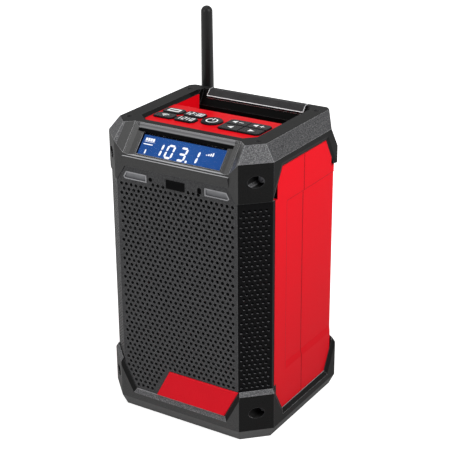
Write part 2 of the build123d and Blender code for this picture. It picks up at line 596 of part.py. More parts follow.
    # dimples in the corners of the top
    with BuildSketch(Plane.XY.offset(HEIGHT)):
        for dimple_x, dimple_y in (DIMPLE_FRONT, DIMPLE_REAR):
            with Locations((-dimple_x, dimple_y), (dimple_x, dimple_y)):
                RegularPolygon(DIMPLE_R, 16)
    extrude(amount=-DIMPLE_DEPTH, mode=Mode.SUBTRACT)
    # screw wells
    with BuildSketch(Plane.XZ.offset(-SCREW_SEAT_Y)):
        with Locations((-UPPER_SCREW_X, UPPER_SCREW_Z), (UPPER_SCREW_X, UPPER_SCREW_Z)):
            Circle(SCREW_HOLE_R)
    extrude(amount=UPPER_FRONT, mode=Mode.SUBTRACT)
    with BuildSketch(Plane.XZ.offset(-SCREW_SEAT_Y)):
        with Locations((-UPPER_SCREW_X, UPPER_SCREW_Z), (UPPER_SCREW_X, UPPER_SCREW_Z)):
            Circle(SCREW_R + SCREW_FREE)
    extrude(amount=2 * (SCREW_SEAT_Y - BLOCK_Y), mode=Mode.SUBTRACT)
export(upper_frame, "upper_frame")

# ================================================================ grip along the handle
with BuildPart() as handle_grip:
    edge_y, edge_drop = HANDLE_EDGE
    lean = (GROOVE_IN - TOP_REAR_IN) / GROOVE_DROP
    with BuildSketch(Plane.YZ):
        Polygon((edge_y + SEAT, HEIGHT - edge_drop + 2 * SEAT),
                (edge_y - GRIP_PROUD, HEIGHT - edge_drop + GRIP_LIP_LOW),
                (edge_y - GRIP_PROUD, HEIGHT - edge_drop + GRIP_LIP_LOW + GRIP_LIP),
                (HANDLE_CREST[0] + GRIP_PROUD, HEIGHT),
                (UPPER_REAR - TOP_REAR_IN, HEIGHT),
                (UPPER_REAR - TOP_REAR_IN - lean * (GRIP_SEAT_DROP - SEAT),
                 HEIGHT - GRIP_SEAT_DROP + SEAT),
                (GRIP_SEAT_Y, HEIGHT - GRIP_SEAT_DROP + SEAT), align=None)
    extrude(amount=GRIP_HALF, both=True)
export(handle_grip, "handle_grip")

# ================================================================ red housing, two halves
NOTCH_X = BLOCK_X - GAP
NOTCH_Y = BLOCK_Y + GAP
SPLIT_GAP = GAP / 2
CORNER_SUM = BODY_HALF + BODY_FRONT - FRONT_CUT     # x - y of the front corner faces
WING_END = CORNER_SUM - (GRILLE_T + GAP) * ROOT2    # the same, just behind the grille
PAD_FRONT = BODY_HALF - WING_END                    # ends of the side panels at the upper guards
PAD_REAR = UPPER_SIDE_LOW[1] - 4 * GAP

with BuildPart() as housing:
    with BuildSketch(Plane.XY.offset(HOUSING_LOW)):
        Polygon(*housing_plan(0), align=None)
    extrude(amount=HOUSING_TOP - HOUSING_LOW)
    # raised side panels, up to the upper frame and on into its side openings
    skin = 1.0
    for side in (-1, 1):
        with BuildSketch(Plane.XY.offset(HOUSING_LOW)):
            Polygon((side * (HOUSING_HALF - skin), HOUSING_HALF - WING_END + 2 * GAP),
                    (side * HOUSING_HALF, HOUSING_HALF - WING_END),
                    (side * BODY_HALF, PAD_FRONT),
                    (side * BODY_HALF, BODY_REAR - REAR_CUT),
                    (side * (HOUSING_HALF - skin),
                     BODY_REAR - REAR_CUT + BODY_HALF - HOUSING_HALF + skin),
                    align=None)
        extrude(amount=UPPER_LOW - GAP - HOUSING_LOW)
        with BuildSketch(Plane.YZ.offset(side * BODY_HALF)):
            Polygon(*side_profile(UPPER_SIDE_TOP, UPPER_SIDE_LOW, HEIGHT - UPPER_SIDE_H, UPPER_LOW),
                    align=None)
            offset(amount=-GAP, kind=Kind.INTERSECTION)
        extrude(amount=-side * (BODY_HALF - HOUSING_HALF + skin))
        with BuildSketch(Plane.YZ.offset(side * BODY_HALF)):
            with Locations(((PAD_FRONT + PAD_REAR) / 2, UPPER_LOW)):
                Rectangle(PAD_REAR - PAD_FRONT, 4 * GAP)
        extrude(amount=-side * (BODY_HALF - HOUSING_HALF + skin))
    # inside
    with BuildSketch(Plane.XY.offset(HOUSING_LOW + WALL)):
        Polygon(*housing_plan(WALL), align=None)
    extrude(amount=HEIGHT, mode=Mode.SUBTRACT)
    # shallow fields with a slanted lower ledge
    for side in (-1, 1):
        with BuildSketch(Plane.XZ.offset(-FIELD_FRONT)):
            Polygon((side * (BODY_HALF + 1), FIELD_TOP),
                    (side * (BODY_HALF - FIELD_IN), FIELD_TOP),
                    (side * (BODY_HALF - FIELD_IN), FIELD_LOW + FIELD_LEDGE),
                    (side * BODY_HALF, FIELD_LOW),
                    (side * (BODY_HALF + 1), FIELD_LOW), align=None)
        extrude(amount=FIELD_FRONT - BODY_REAR - 1, mode=Mode.SUBTRACT)
    # room for the corner blocks of both frames
    for side in (-1, 1):
        for low, high in ((0, LOWER_CORNER_H + GAP), (UPPER_LOW - GAP, HEIGHT)):
            with BuildSketch(Plane.XY.offset(low)):
                with Locations((side * (NOTCH_X + BODY_HALF), NOTCH_Y - BODY_FRONT)):
                    Rectangle(2 * BODY_HALF, 2 * BODY_FRONT)
            extrude(amount=high - low, mode=Mode.SUBTRACT)
    # screw bosses behind the blocks
    for side in (-1, 1):
        for screw_x, screw_z in ((LOWER_SCREW_X, LOWER_SCREW_Z), (UPPER_SCREW_X, UPPER_SCREW_Z)):
            with BuildSketch(Plane.XZ.offset(-NOTCH_Y)):
                with Locations((side * (BLOCK_X + HOUSING_HALF - skin) / 2, screw_z)):
                    Rectangle(HOUSING_HALF - skin - BLOCK_X, 2 * SCREW_BOSS_HALF)
            extrude(amount=NOTCH_Y - SCREW_END_Y)
            with BuildSketch(Plane.XZ.offset(-NOTCH_Y)):
                with Locations((side * screw_x, screw_z)):
                    Circle(SCREW_R + SCREW_FREE)
            extrude(amount=2 * (NOTCH_Y - SCREW_END_Y), mode=Mode.SUBTRACT)
    # room for the handle wall, leaving a tongue of the rear wall below the finger groove
    with BuildSketch(Plane.XY.offset(UPPER_LOW - GAP)):
        with Locations((0, HANDLE_Y - GAP + BODY_REAR)):
            Rectangle(4 * BODY_HALF, 2 * BODY_REAR)
    extrude(amount=HEIGHT, mode=Mode.SUBTRACT)
    with BuildSketch(Plane.XZ.offset(-BODY_REAR)):
        Polygon((-UPPER_REAR_LOW, UPPER_LOW), (UPPER_REAR_LOW, UPPER_LOW),
                (UPPER_REAR_TOP, HEIGHT - GROOVE_END_DROP),
                (-UPPER_REAR_TOP, HEIGHT - GROOVE_END_DROP), align=None)
        offset(amount=-GAP, kind=Kind.INTERSECTION)
        with Locations((0, UPPER_LOW)):
            Rectangle(2 * UPPER_REAR_TOP, 2.0)
    extrude(amount=WALL)
    # room for the display and its board
    with BuildSketch(DISPLAY.offset(-DISPLAY_WALL - SEAT - BOARD_T - GAP)):
        Rectangle(4 * BODY_HALF, 4 * RIM_SLOPE)
    extrude(amount=HEIGHT, mode=Mode.SUBTRACT)
    # opening for the cone, rear opening, opening for the sockets
    with BuildSketch(Plane.XZ.offset(BODY_FRONT)):
        with Locations((0, SPEAKER_Z)):
            RegularPolygon(CONE_HOLE_R, SPEAKER_SIDES)
    extrude(amount=-BODY_FRONT / 2, mode=Mode.SUBTRACT)
    with BuildSketch(Plane.XZ.offset(-BODY_REAR)):
        with Locations((0, (REAR_OPEN_LOW + REAR_OPEN_TOP) / 2)):
            Rectangle(2 * REAR_OPEN_HALF, REAR_OPEN_TOP - REAR_OPEN_LOW)
        with Locations((PORT_X, (PORT_LOW + PORT_TOP) / 2)):
            Rectangle(2 * (PORT_HALF + PORT_WALL + GAP), PORT_TOP - PORT_LOW + 2 * (PORT_WALL + GAP))
    extrude(amount=BODY_REAR / 2, mode=Mode.SUBTRACT)
    with BuildSketch(Plane.XZ.offset(-BODY_REAR)):
        for x, z in (REAR_SCREW_TOP, REAR_SCREW_LOW):
            with Locations((-x, z), (x, z)):
                Circle(REAR_SCREW_R + SCREW_FREE)
    extrude(amount=BODY_REAR / 2, mode=Mode.SUBTRACT)

with BuildPart() as front_housing:
    add(housing.part)
    with BuildSketch(Plane.XY):
        with Locations((0, SPLIT_Y - SPLIT_GAP + 2 * BODY_REAR)):
            Rectangle(4 * BODY_HALF, 4 * BODY_REAR)
    extrude(amount=HEIGHT, mode=Mode.SUBTRACT)
export(front_housing, "front_housing")

with BuildPart() as rear_housing:
    add(housing.part)
    with BuildSketch(Plane.XY):
        with Locations((0, SPLIT_Y + SPLIT_GAP - 2 * BODY_REAR)):
            Rectangle(4 * BODY_HALF, 4 * BODY_REAR)
    extrude(amount=HEIGHT, mode=Mode.SUBTRACT)
export(rear_housing, "rear_housing")

# ================================================================ deck and hand pocket
def opening_plan(grow, rear):
    """Outline of the top opening grown outwards, as far back as rear."""
    half = OPEN_HALF + grow
    front = OPEN_FRONT - grow
    cut = OPEN_CUT + grow * (2 - ROOT2)
    return [(-half, front + cut), (cut - half, front), (half - cut, front), (half, front + cut),
            (half, rear), (-half, rear)]


POWER_Y = KEY_ROW_MID
KEYS = {
    # name: middle, size, corners that are cut, side on which the flange lies
    "key_wireless": (LEFT_KEY_X[0], KEY_ROW_MID - LEFT_ROW, LEFT_KEY_D, "all"),
    "key_display": (LEFT_KEY_X[0], KEY_ROW_MID + LEFT_ROW, LEFT_KEY_D, "all"),
    "key_preset": (LEFT_KEY_X[1], KEY_ROW_MID - LEFT_ROW, LEFT_KEY_D, "all"),
    "key_clock": (LEFT_KEY_X[1], KEY_ROW_MID + LEFT_ROW, LEFT_KEY_D, "all"),
    "key_tune_down": (RIGHT_KEY_X[0], KEY_ROW_MID - RIGHT_ROW, RIGHT_KEY_D, "outer"),
    "key_tune_up": (RIGHT_KEY_X[1], KEY_ROW_MID - RIGHT_ROW, RIGHT_KEY_D, "outer"),
    "key_volume_down": (RIGHT_KEY_X[0], KEY_ROW_MID + RIGHT_ROW, RIGHT_KEY_D, "outer"),
    "key_volume_up": (RIGHT_KEY_X[1], KEY_ROW_MID + RIGHT_ROW, RIGHT_KEY_D, "outer"),
}


def key_plan(name, grow):
    """Outline of a key seen from above, grown outwards, with its cut corners."""
    x, y, depth, cut_at = KEYS[name]
    half = KEY_W / 2 + grow
    deep = depth / 2 + grow
    cut = KEY_CUT + grow * (2 - ROOT2)
    pad_x = sum(RIGHT_KEY_X) / 2
    corners = []
    for sx, sy in ((-1, -1), (1, -1), (1, 1), (-1, 1)):
        inner = cut_at == "outer" and (sx * (x - pad_x) < 0 or sy * (y - KEY_ROW_MID) < 0)
        if inner:
            corners.append((x + sx * half, y + sy * deep))
            continue
        along = (x + sx * (half - cut), y + sy * deep)
        across = (x + sx * half, y + sy * (deep - cut))
        corners += [across, along] if sx * sy > 0 else [along, across]
    return corners


def pad_plan(grow):
    """Outline of the four right keys together."""
    left, right = RIGHT_KEY_X
    west = left - KEY_W / 2 - grow
    east = right + KEY_W / 2 + grow
    south = KEY_ROW_MID - RIGHT_ROW - RIGHT_KEY_D / 2 - grow
    north = KEY_ROW_MID + RIGHT_ROW + RIGHT_KEY_D / 2 + grow
    cut = KEY_CUT + grow * (2 - ROOT2)
    return [(west, south + cut), (west + cut, south), (east - cut, south), (east, south + cut),
            (east, north - cut), (east - cut, north), (west + cut, north), (west, north - cut)]


with BuildPart() as control_deck:
    with BuildSketch(Plane.XY.offset(DECK_LOW)):
        Polygon(*opening_plan(DECK_LAP, POCKET_FRONT), align=None)
    extrude(amount=FLANGE_TOP - DECK_LOW)
    with BuildSketch(Plane.XY.offset(DECK_LOW)):
        Polygon(*opening_plan(-GAP, POCKET_FRONT), align=None)
    extrude(amount=DECK_T)
    # hand pocket
    pocket_rear = HANDLE_Y - GAP
    pocket_low = POCKET_FLOOR - WALL
    with BuildSketch(Plane.XY.offset(pocket_low)):
        with Locations((0, (POCKET_FRONT - WALL + pocket_rear) / 2)):
            Rectangle(2 * (OPEN_HALF + DECK_LAP), pocket_rear - POCKET_FRONT + WALL)
    extrude(amount=FLANGE_TOP - pocket_low)
    with BuildSketch(Plane.XY.offset(DECK_LOW)):
        with Locations((0, POCKET_FRONT - WALL / 2)):
            Rectangle(2 * (OPEN_HALF - GAP), WALL)
    extrude(amount=DECK_T)
    with BuildSketch(Plane.XY.offset(POCKET_FLOOR)):
        with Locations((0, POCKET_FRONT + BODY_REAR)):
            Rectangle(2 * OPEN_HALF, 2 * BODY_REAR)
    extrude(amount=HEIGHT, mode=Mode.SUBTRACT)
    # key openings
    with BuildSketch(Plane.XY.offset(DECK_LOW)):
        for name in ("key_wireless", "key_display", "key_preset", "key_clock"):
            Polygon(*key_plan(name, KEY_GAP), align=None)
        Polygon(*pad_plan(KEY_GAP), align=None)
        with Locations((POWER_X, POWER_Y)):
            Circle(POWER_R + KEY_GAP)
    extrude(amount=2 * DECK_T, mode=Mode.SUBTRACT)
    # posts for the switch board
    post_x = OPEN_HALF - KEYPAD_BOARD_IN - POST_IN
    post_front = OPEN_FRONT + KEYPAD_BOARD_FRONT + POST_IN
    post_rear = POCKET_FRONT - KEYPAD_BOARD_REAR - POST / 2
    with BuildSketch(Plane.XY.offset(KEY_BOARD_TOP + SEAT)):
        with Locations((-post_x, post_rear), (post_x, post_rear),
                       (-POST_MID_X, post_front), (POST_MID_X, post_front)):
            Rectangle(POST, POST)
    extrude(amount=DECK_LOW + 1 - KEY_BOARD_TOP - SEAT)
export(control_deck, "control_deck")

# ================================================================ keys
for key_name in KEYS:
    key_x, key_y, key_depth, cut_at = KEYS[key_name]
    with BuildPart() as key:
        with BuildSketch(Plane.XY.offset(KEY_LOW)):
            Polygon(*key_plan(key_name, 0), align=None)
        extrude(amount=DECK_Z + KEY_RISE - KEY_LOW)
        chamfer(key.edges().group_by(Axis.Z)[-1], KEY_EDGE)
        outward = 1 if key_y > KEY_ROW_MID else -1
        reach = key_depth / 2 + KEY_FLANGE
        with BuildSketch(Plane.XY.offset(KEY_LOW)):
            with Locations((key_x, key_y + outward * reach / 2)):
                Rectangle(KEY_W - 2 * KEY_CUT, reach)
            if cut_at == "all":
                with Locations((key_x, key_y - outward * reach / 2)):
                    Rectangle(KEY_W - 2 * KEY_CUT, reach)
        extrude(amount=KEY_FLANGE_T)
    export(key, key_name)

with BuildPart() as key_power:
    with BuildSketch(Plane.XY.offset(KEY_LOW)):
        with Locations((POWER_X, POWER_Y)):
            RegularPolygon(POWER_R + KEY_FLANGE, 24)
    extrude(amount=KEY_FLANGE_T)
    with BuildSketch(Plane.XY.offset(KEY_LOW)):
        with Locations((POWER_X, POWER_Y)):
            Circle(POWER_R)
    extrude(amount=DECK_Z + KEY_RISE - KEY_LOW)
    chamfer(key_power.edges().group_by(Axis.Z)[-1], KEY_EDGE)
export(key_power, "key_power")

SWITCHES = [(KEYS[name][0], KEYS[name][1]) for name in KEYS] + [(POWER_X, POWER_Y)]
with BuildPart() as keypad_board:
    board_front = OPEN_FRONT + KEYPAD_BOARD_FRONT
    board_rear = POCKET_FRONT - KEYPAD_BOARD_REAR
    with BuildSketch(Plane.XY.offset(KEY_BOARD_TOP - BOARD_T)):
        with Locations((0, (board_front + board_rear) / 2)):
            Rectangle(2 * (OPEN_HALF - KEYPAD_BOARD_IN), board_rear - board_front)
    extrude(amount=BOARD_T)
export(keypad_board, "keypad_board")

with BuildPart() as tact_switches:
    with BuildSketch(Plane.XY.offset(KEY_BOARD_TOP + SEAT)):
        with Locations(*SWITCHES):
            Rectangle(SWITCH_W, SWITCH_W)
    extrude(amount=SWITCH_BODY_H)
    with BuildSketch(Plane.XY.offset(KEY_BOARD_TOP + SEAT)):
        with Locations(*SWITCHES):
            Rectangle(SWITCH_BUTTON_W, SWITCH_BUTTON_W)
    extrude(amount=SWITCH_H - SEAT)
export(tact_switches, "tact_switches")

# ================================================================ grille and what sits in it
GRILLE_Y = Plane.XZ.offset(BODY_FRONT)
GRILLE_FOOT = NOTCH_X - GRILLE_T - HOUSING_SET / 2      # half width of the grille between the guards


def badge_left(z):
    """Left end of the badge at height z: it slants like the guards."""
    return BADGE_LEFT + (z - BADGE_TOP) * LOWER_SLANT


def wing_plan(set_in, thick, end_x):
    """U-shaped strip seen from above, set_in behind the body's front, reaching out to end_x."""
    outer = CORNER_SUM - set_in * ROOT2
    inner = CORNER_SUM - (set_in + thick) * ROOT2
    front = BODY_FRONT - set_in
    back = front - thick
    right = [(outer - front, -front), (end_x, end_x - outer), (end_x, end_x - inner),
             (inner - back, -back)]
    left = [(-x, y) for x, y in reversed(right)]
    return left[-1:] + right + left[:-1]


def status_points(side):
    """Outline of a status window: its outer end is slanted."""
    top = HEIGHT - STATUS_TOP_DROP
    low = top - STATUS_H
    out = STATUS_OUT + STATUS_SLANT
    return [(side * STATUS_IN, low), (side * (out - STATUS_NIP), low),
            (side * out, low + STATUS_NIP), (side * STATUS_OUT, top), (side * STATUS_IN, top)]


def front_holes():
    """Middles of the staggered openings of the front, clear of the guards and the badge."""
    rows = int((HOLE_TOP - HOLE_LOW) / (HOLE_PITCH * math.sqrt(3) / 2)) + 1
    row_step = (HOLE_TOP - HOLE_LOW) / (rows - 1)
    widest = BODY_HALF - FRONT_CUT - HOLE_EDGE
    columns = int(2 * widest / HOLE_PITCH) + 1
    places = []
    for row in range(rows):
        z = HOLE_LOW + row * row_step
        guard = LOWER_FRONT_LOW + (z - RAIL_H) * LOWER_SLANT - HOLE_EDGE
        for column in range(columns - row % 2):
            x = (column + row % 2 / 2 - (columns - 1) / 2) * HOLE_PITCH
            on_badge = z < BADGE_TOP + HOLE_EDGE and x > badge_left(z) - HOLE_EDGE
            if abs(x) < guard and not on_badge:
                places.append((x, z))
    return places


def wing_holes():
    """Middles of the openings of one wing, across and up."""
    low = LOWER_CORNER_H + HOLE_EDGE + GAP
    rows = int((HOLE_TOP - low) / (HOLE_PITCH * math.sqrt(3) / 2)) + 1
    places = []
    for row in range(rows):
        shift = HOLE_PITCH / 4 if row % 2 else -HOLE_PITCH / 4
        for column in range(WING_COLUMNS):
            places.append(((column - (WING_COLUMNS - 1) / 2) * HOLE_PITCH + shift,
                           low + row * (HOLE_TOP - low) / (rows - 1)))
    return places


with BuildPart() as front_grille:
    grille_low = RAIL_H - GRILLE_T
    with BuildSketch(Plane.XY.offset(grille_low)):
        Polygon(*wing_plan(0, GRILLE_T, BODY_HALF), align=None)
    extrude(amount=HEIGHT - CHIN_H - GAP - grille_low)
    # the wings end at the guards, the front edge follows chin and legs
    for side in (-1, 1):
        with BuildSketch(Plane.XZ.offset(BODY_FRONT + 1)):
            Polygon((side * (LEG_HALF - GAP), UPPER_LOW - SEAT),
                    (side * 2 * BODY_HALF, UPPER_LOW - SEAT),
                    (side * 2 * BODY_HALF, HEIGHT),
                    (side * (CHIN_HALF - GAP), HEIGHT),
                    (side * (CHIN_HALF - GAP), HEIGHT - CHIN_H - GAP), align=None)
            Polygon((side * GRILLE_FOOT, LOWER_CORNER_H + SEAT),
                    (side * 2 * BODY_HALF, LOWER_CORNER_H + SEAT),
                    (side * 2 * BODY_HALF, 0),
                    (side * GRILLE_FOOT, 0), align=None)
        extrude(amount=-BODY_FRONT, mode=Mode.SUBTRACT)
    # staggered openings: the front, then each wing
    with BuildSketch(GRILLE_Y):
        with Locations(*front_holes()):
            RegularPolygon(HOLE_R, 6, rotation=30)
    extrude(amount=-2 * GRILLE_T, mode=Mode.SUBTRACT)
    for side in (-1, 1):
        wing_plane = Plane(origin=(side * (BODY_HALF - FRONT_CUT / 2), FRONT_CUT / 2 - BODY_FRONT, 0),
                           x_dir=(1, side, 0), z_dir=(side, -1, 0))
        with BuildSketch(wing_plane):
            with Locations(*wing_holes()):
                RegularPolygon(HOLE_R, 6, rotation=30)
        extrude(amount=-2 * GRILLE_T, mode=Mode.SUBTRACT)
    # seats for the windows and the plate
    with BuildSketch(GRILLE_Y):
        for side in (-1, 1):
            Polygon(*status_points(side), align=None)
        with Locations((0, HEIGHT - PLATE_TOP_DROP - PLATE_H / 2)):
            Rectangle(2 * (PLATE_HALF - PLATE_LEDGE), PLATE_H - 2 * PLATE_LEDGE_H)
    extrude(amount=-2 * GRILLE_T, mode=Mode.SUBTRACT)
export(front_grille, "front_grille")

with BuildPart() as grille_cloth:
    with BuildSketch(Plane.XY.offset(LOWER_CORNER_H + 2 * GAP)):
        Polygon(*wing_plan(GRILLE_T + GAP, CLOTH_T, HOUSING_HALF - 2), align=None)
    extrude(amount=UPPER_LOW - LOWER_CORNER_H - 4 * GAP)
    with BuildSketch(Plane.XZ.offset(BODY_FRONT - GRILLE_T - GAP)):
        Polygon((-CHIN_HALF + GAP, UPPER_LOW - 2), (CHIN_HALF - GAP, UPPER_LOW - 2),
                (CHIN_HALF - GAP, HEIGHT - CHIN_H - 2 * GAP),
                (-CHIN_HALF + GAP, HEIGHT - CHIN_H - 2 * GAP), align=None)
    extrude(amount=-CLOTH_T)
export(grille_cloth, "grille_cloth")

for side, window_name in ((-1, "status_window_left"), (1, "status_window_right")):
    with BuildPart() as status_window:
        with BuildSketch(Plane.XZ.offset(BODY_FRONT - STATUS_SINK)):
            Polygon(*status_points(side), align=None)
            offset(amount=-SEAT, kind=Kind.INTERSECTION)
        extrude(amount=STATUS_SINK - GRILLE_T)
    export(status_window, window_name)

with BuildPart() as centre_plate:
    plate_mid = HEIGHT - PLATE_TOP_DROP - PLATE_H / 2
    with BuildSketch(Plane.XZ.offset(BODY_FRONT + SEAT)):
        with Locations((0, plate_mid)):
            Rectangle(2 * PLATE_HALF, PLATE_H)
    extrude(amount=PLATE_T)
    chamfer(centre_plate.faces().sort_by(Axis.Y)[0].edges(), PLATE_EDGE)
    with BuildSketch(Plane.XZ.offset(BODY_FRONT + SEAT)):
        with Locations((0, plate_mid)):
            Rectangle(2 * (PLATE_HALF - PLATE_LEDGE - SEAT), PLATE_H - 2 * (PLATE_LEDGE_H + SEAT))
    extrude(amount=-GRILLE_T)
export(centre_plate, "centre_plate")

with BuildPart() as badge:
    low = RAIL_H + GAP
    right_low = LOWER_FRONT_LOW + (low - RAIL_H) * LOWER_SLANT - 2 * GAP
    right_top = right_low + (BADGE_TOP - low) * LOWER_SLANT
    with BuildSketch(Plane.XZ.offset(BODY_FRONT + SEAT)):
        Polygon((badge_left(low), low), (right_low, low), (right_top, BADGE_TOP),
                (badge_left(BADGE_TOP), BADGE_TOP), align=None)
    extrude(amount=BADGE_T)
    chamfer(badge.faces().sort_by(Axis.Y)[0].edges(), BADGE_EDGE)
export(badge, "badge")

# ================================================================ display
with BuildPart() as display_window:
    with BuildSketch(DISPLAY.offset(-TRAY_DEPTH - WINDOW_SINK)):
        with Locations((0, (WINDOW_TOP + WINDOW_LOW) / 2)):
            Rectangle(2 * (WINDOW_HALF - SEAT), WINDOW_TOP - WINDOW_LOW - 2 * SEAT)
    extrude(amount=-WINDOW_T)
export(display_window, "display_window")

with BuildPart() as lcd_panel:
    with BuildSketch(DISPLAY.offset(-TRAY_DEPTH - WINDOW_SINK - WINDOW_T - SEAT)):
        with Locations((0, (WINDOW_TOP + WINDOW_LOW) / 2)):
            Rectangle(2 * (WINDOW_HALF - SEAT), WINDOW_TOP - WINDOW_LOW - 2 * SEAT)
    extrude(amount=TRAY_DEPTH + WINDOW_SINK + WINDOW_T + SEAT - DISPLAY_WALL)
export(lcd_panel, "lcd_panel")

with BuildPart() as display_board:
    with BuildSketch(DISPLAY.offset(-DISPLAY_WALL - SEAT)):
        with Locations((0, (WINDOW_TOP + WINDOW_LOW) / 2)):
            Rectangle(2 * (RIM_HALF - DISPLAY_BOARD_IN), RIM_SLOPE - DISPLAY_BOARD_LESS)
    extrude(amount=-BOARD_T)
export(display_board, "display_board")

# ================================================================ speaker
BAFFLE_BACK = -HOUSING_FRONT + WALL + SEAT
BAFFLE = Plane.XZ.offset(-BAFFLE_BACK)          # its normal points to the front


def ring(depth, radius):
    """Sketch of a round outline of the speaker, depth behind the baffle."""
    with BuildSketch(BAFFLE.offset(-depth)) as outline:
        with Locations((0, SPEAKER_Z)):
            RegularPolygon(radius, SPEAKER_SIDES)
    return outline.sketch


def corners(depth, radius):
    """Corners of a round outline of the speaker, in order round its axis."""
    outline = ring(depth, radius).vertices()
    return sorted(outline, key=lambda v: math.atan2(v.Z - SPEAKER_Z, v.X))


def funnel(depth, radius, far_depth, far_radius):
    """Solid of flats between two round outlines of the speaker."""
    near = corners(depth, radius)
    far = corners(far_depth, far_radius)
    flats = [Face(Wire.make_polygon([near[i - 1], near[i], far[i], far[i - 1]]))
             for i in range(SPEAKER_SIDES)]
    ends = [Face(Wire.make_polygon(near)), Face(Wire.make_polygon(far))]
    return Solid(Shell([*ends, *flats]))


with BuildPart() as speaker_basket:
    extrude(ring(0, SPEAKER_R), amount=-FLANGE_T)
    add(funnel(FLANGE_T, CONE_HOLE_R + BASKET_WALL, BASKET_DEPTH, MAGNET_R - BASKET_WALL))
    extrude(ring(0, CONE_HOLE_R - BASKET_LAP), amount=-FLANGE_T, mode=Mode.SUBTRACT)
    add(funnel(FLANGE_T, CONE_HOLE_R - BASKET_LAP,
               BASKET_DEPTH - BASKET_WALL, MAGNET_R - 2 * BASKET_WALL), mode=Mode.SUBTRACT)
    extrude(ring(0, NECK_R), amount=-2 * BASKET_DEPTH, mode=Mode.SUBTRACT)
    # windows in its slanted wall
    with BuildSketch(BAFFLE.offset(-FLANGE_T - BASKET_WALL)):
        with Locations((0, SPEAKER_Z)):
            with PolarLocations((CONE_HOLE_R + MAGNET_R) / 2, BASKET_WINDOWS):
                Rectangle(*BASKET_WINDOW)
    extrude(amount=FLANGE_T + 2 * BASKET_WALL - BASKET_DEPTH, mode=Mode.SUBTRACT)
export(speaker_basket, "speaker_basket")

with BuildPart() as speaker_cone:
    rim = GAP + SURROUND_T
    cup = rim + CONE_DEPTH - CONE_WALL              # depth of the cone's inner floor
    extrude(ring(GAP, CONE_HOLE_R - BASKET_LAP - SEAT), amount=-SURROUND_T)
    add(funnel(rim, CONE_R, rim + CONE_DEPTH, CONE_LOW_R))
    add(funnel(GAP, CONE_R - CONE_WALL, cup, CONE_LOW_R - CONE_WALL), mode=Mode.SUBTRACT)
    # dust cap
    add(funnel(cup - CAP_H, CAP_R, cup, CONE_LOW_R))
export(speaker_cone, "speaker_cone")

with BuildPart() as speaker_magnet:
    extrude(ring(BASKET_DEPTH + SEAT, MAGNET_R), amount=-MAGNET_T)
export(speaker_magnet, "speaker_magnet")

# ================================================================ rear panel, bay, sockets, door
BACK_PLANE = Plane.XZ.offset(-PANEL_FACE)       # its normal points to the front

with BuildPart() as rear_panel:
    with BuildSketch(BACK_PLANE):
        with Locations((0, (PANEL_LOW + PANEL_TOP) / 2)):
            Rectangle(2 * PANEL_HALF, PANEL_TOP - PANEL_LOW)
        chamfer([v for v in vertices() if v.Z > PANEL_LOW], PANEL_CUT)
    extrude(amount=PANEL_T)
    chamfer(rear_panel.faces().sort_by(Axis.Y)[-1].edges(), PANEL_EDGE)
    # aerial boss
    with BuildSketch(Plane.XY.offset(PANEL_TOP - BOSS_H)):
        with Locations((WHIP_X, WHIP_Y)):
            Circle(BOSS_R)
        with Locations((WHIP_X, (PANEL_FACE - PANEL_T / 2 + WHIP_Y) / 2)):
            Rectangle(2 * BOSS_R, WHIP_Y - PANEL_FACE + PANEL_T / 2)
    extrude(amount=BOSS_H)
    with BuildSketch(Plane.YZ):
        Polygon((PANEL_FACE, PANEL_TOP - BOSS_H), (PANEL_FACE, PANEL_TOP - BOSS_H - PANEL_T),
                (WHIP_Y + 2 * BOSS_R, PANEL_TOP - BOSS_H - PANEL_T),
                (WHIP_Y + 2 * BOSS_R, PANEL_TOP - BOSS_H + 2 * BOSS_R), align=None)
    extrude(amount=2 * BODY_HALF, both=True, mode=Mode.SUBTRACT)
    with BuildSketch(Plane.XY.offset(PANEL_TOP)):
        with Locations((WHIP_X, WHIP_Y)):
            Circle(STUD_R + SCREW_FREE)
    extrude(amount=-STUD_L - STUD_SPARE, mode=Mode.SUBTRACT)
    # socket recess
    with BuildSketch(BACK_PLANE):
        with Locations((PORT_X, PORT_MID)):
            Rectangle(2 * (PORT_HALF + PORT_WALL), PORT_H + 2 * PORT_WALL)
    extrude(amount=PORT_DEPTH)
    with BuildSketch(BACK_PLANE):
        with Locations((PORT_X, PORT_MID)):
            Rectangle(2 * PORT_HALF, PORT_H)
    extrude(amount=2 * PORT_DEPTH, mode=Mode.SUBTRACT)
    # door lugs
    for side in (-1, 1):
        lug_x = PORT_X + side * (DOOR_HALF - LUG_W / 2)
        with BuildSketch(Plane.YZ.offset(lug_x - LUG_W / 2)):
            with Locations((HINGE_Y, HINGE_Z)):
                Circle(HINGE_R)
            with Locations(((HINGE_Y + PANEL_FACE - PANEL_T / 2) / 2, HINGE_Z)):
                Rectangle(HINGE_Y - PANEL_FACE + PANEL_T / 2, 2 * HINGE_R)
            with Locations((HINGE_Y, HINGE_Z)):
                Circle(HINGE_PIN_R + HINGE_FREE, mode=Mode.SUBTRACT)
        extrude(amount=LUG_W)
    # opening for the battery bay and screw holes
    with BuildSketch(BACK_PLANE):
        with Locations((0, BAY_MID)):
            Rectangle(2 * (BAY_HALF + BAY_WALL + SEAT), BAY_H + 2 * (BAY_WALL + SEAT))
        for x, z in (REAR_SCREW_TOP, REAR_SCREW_LOW):
            with Locations((-x, z), (x, z)):
                Circle(REAR_SCREW_R + SCREW_FREE)
    extrude(amount=PANEL_T, mode=Mode.SUBTRACT)
export(rear_panel, "rear_panel")

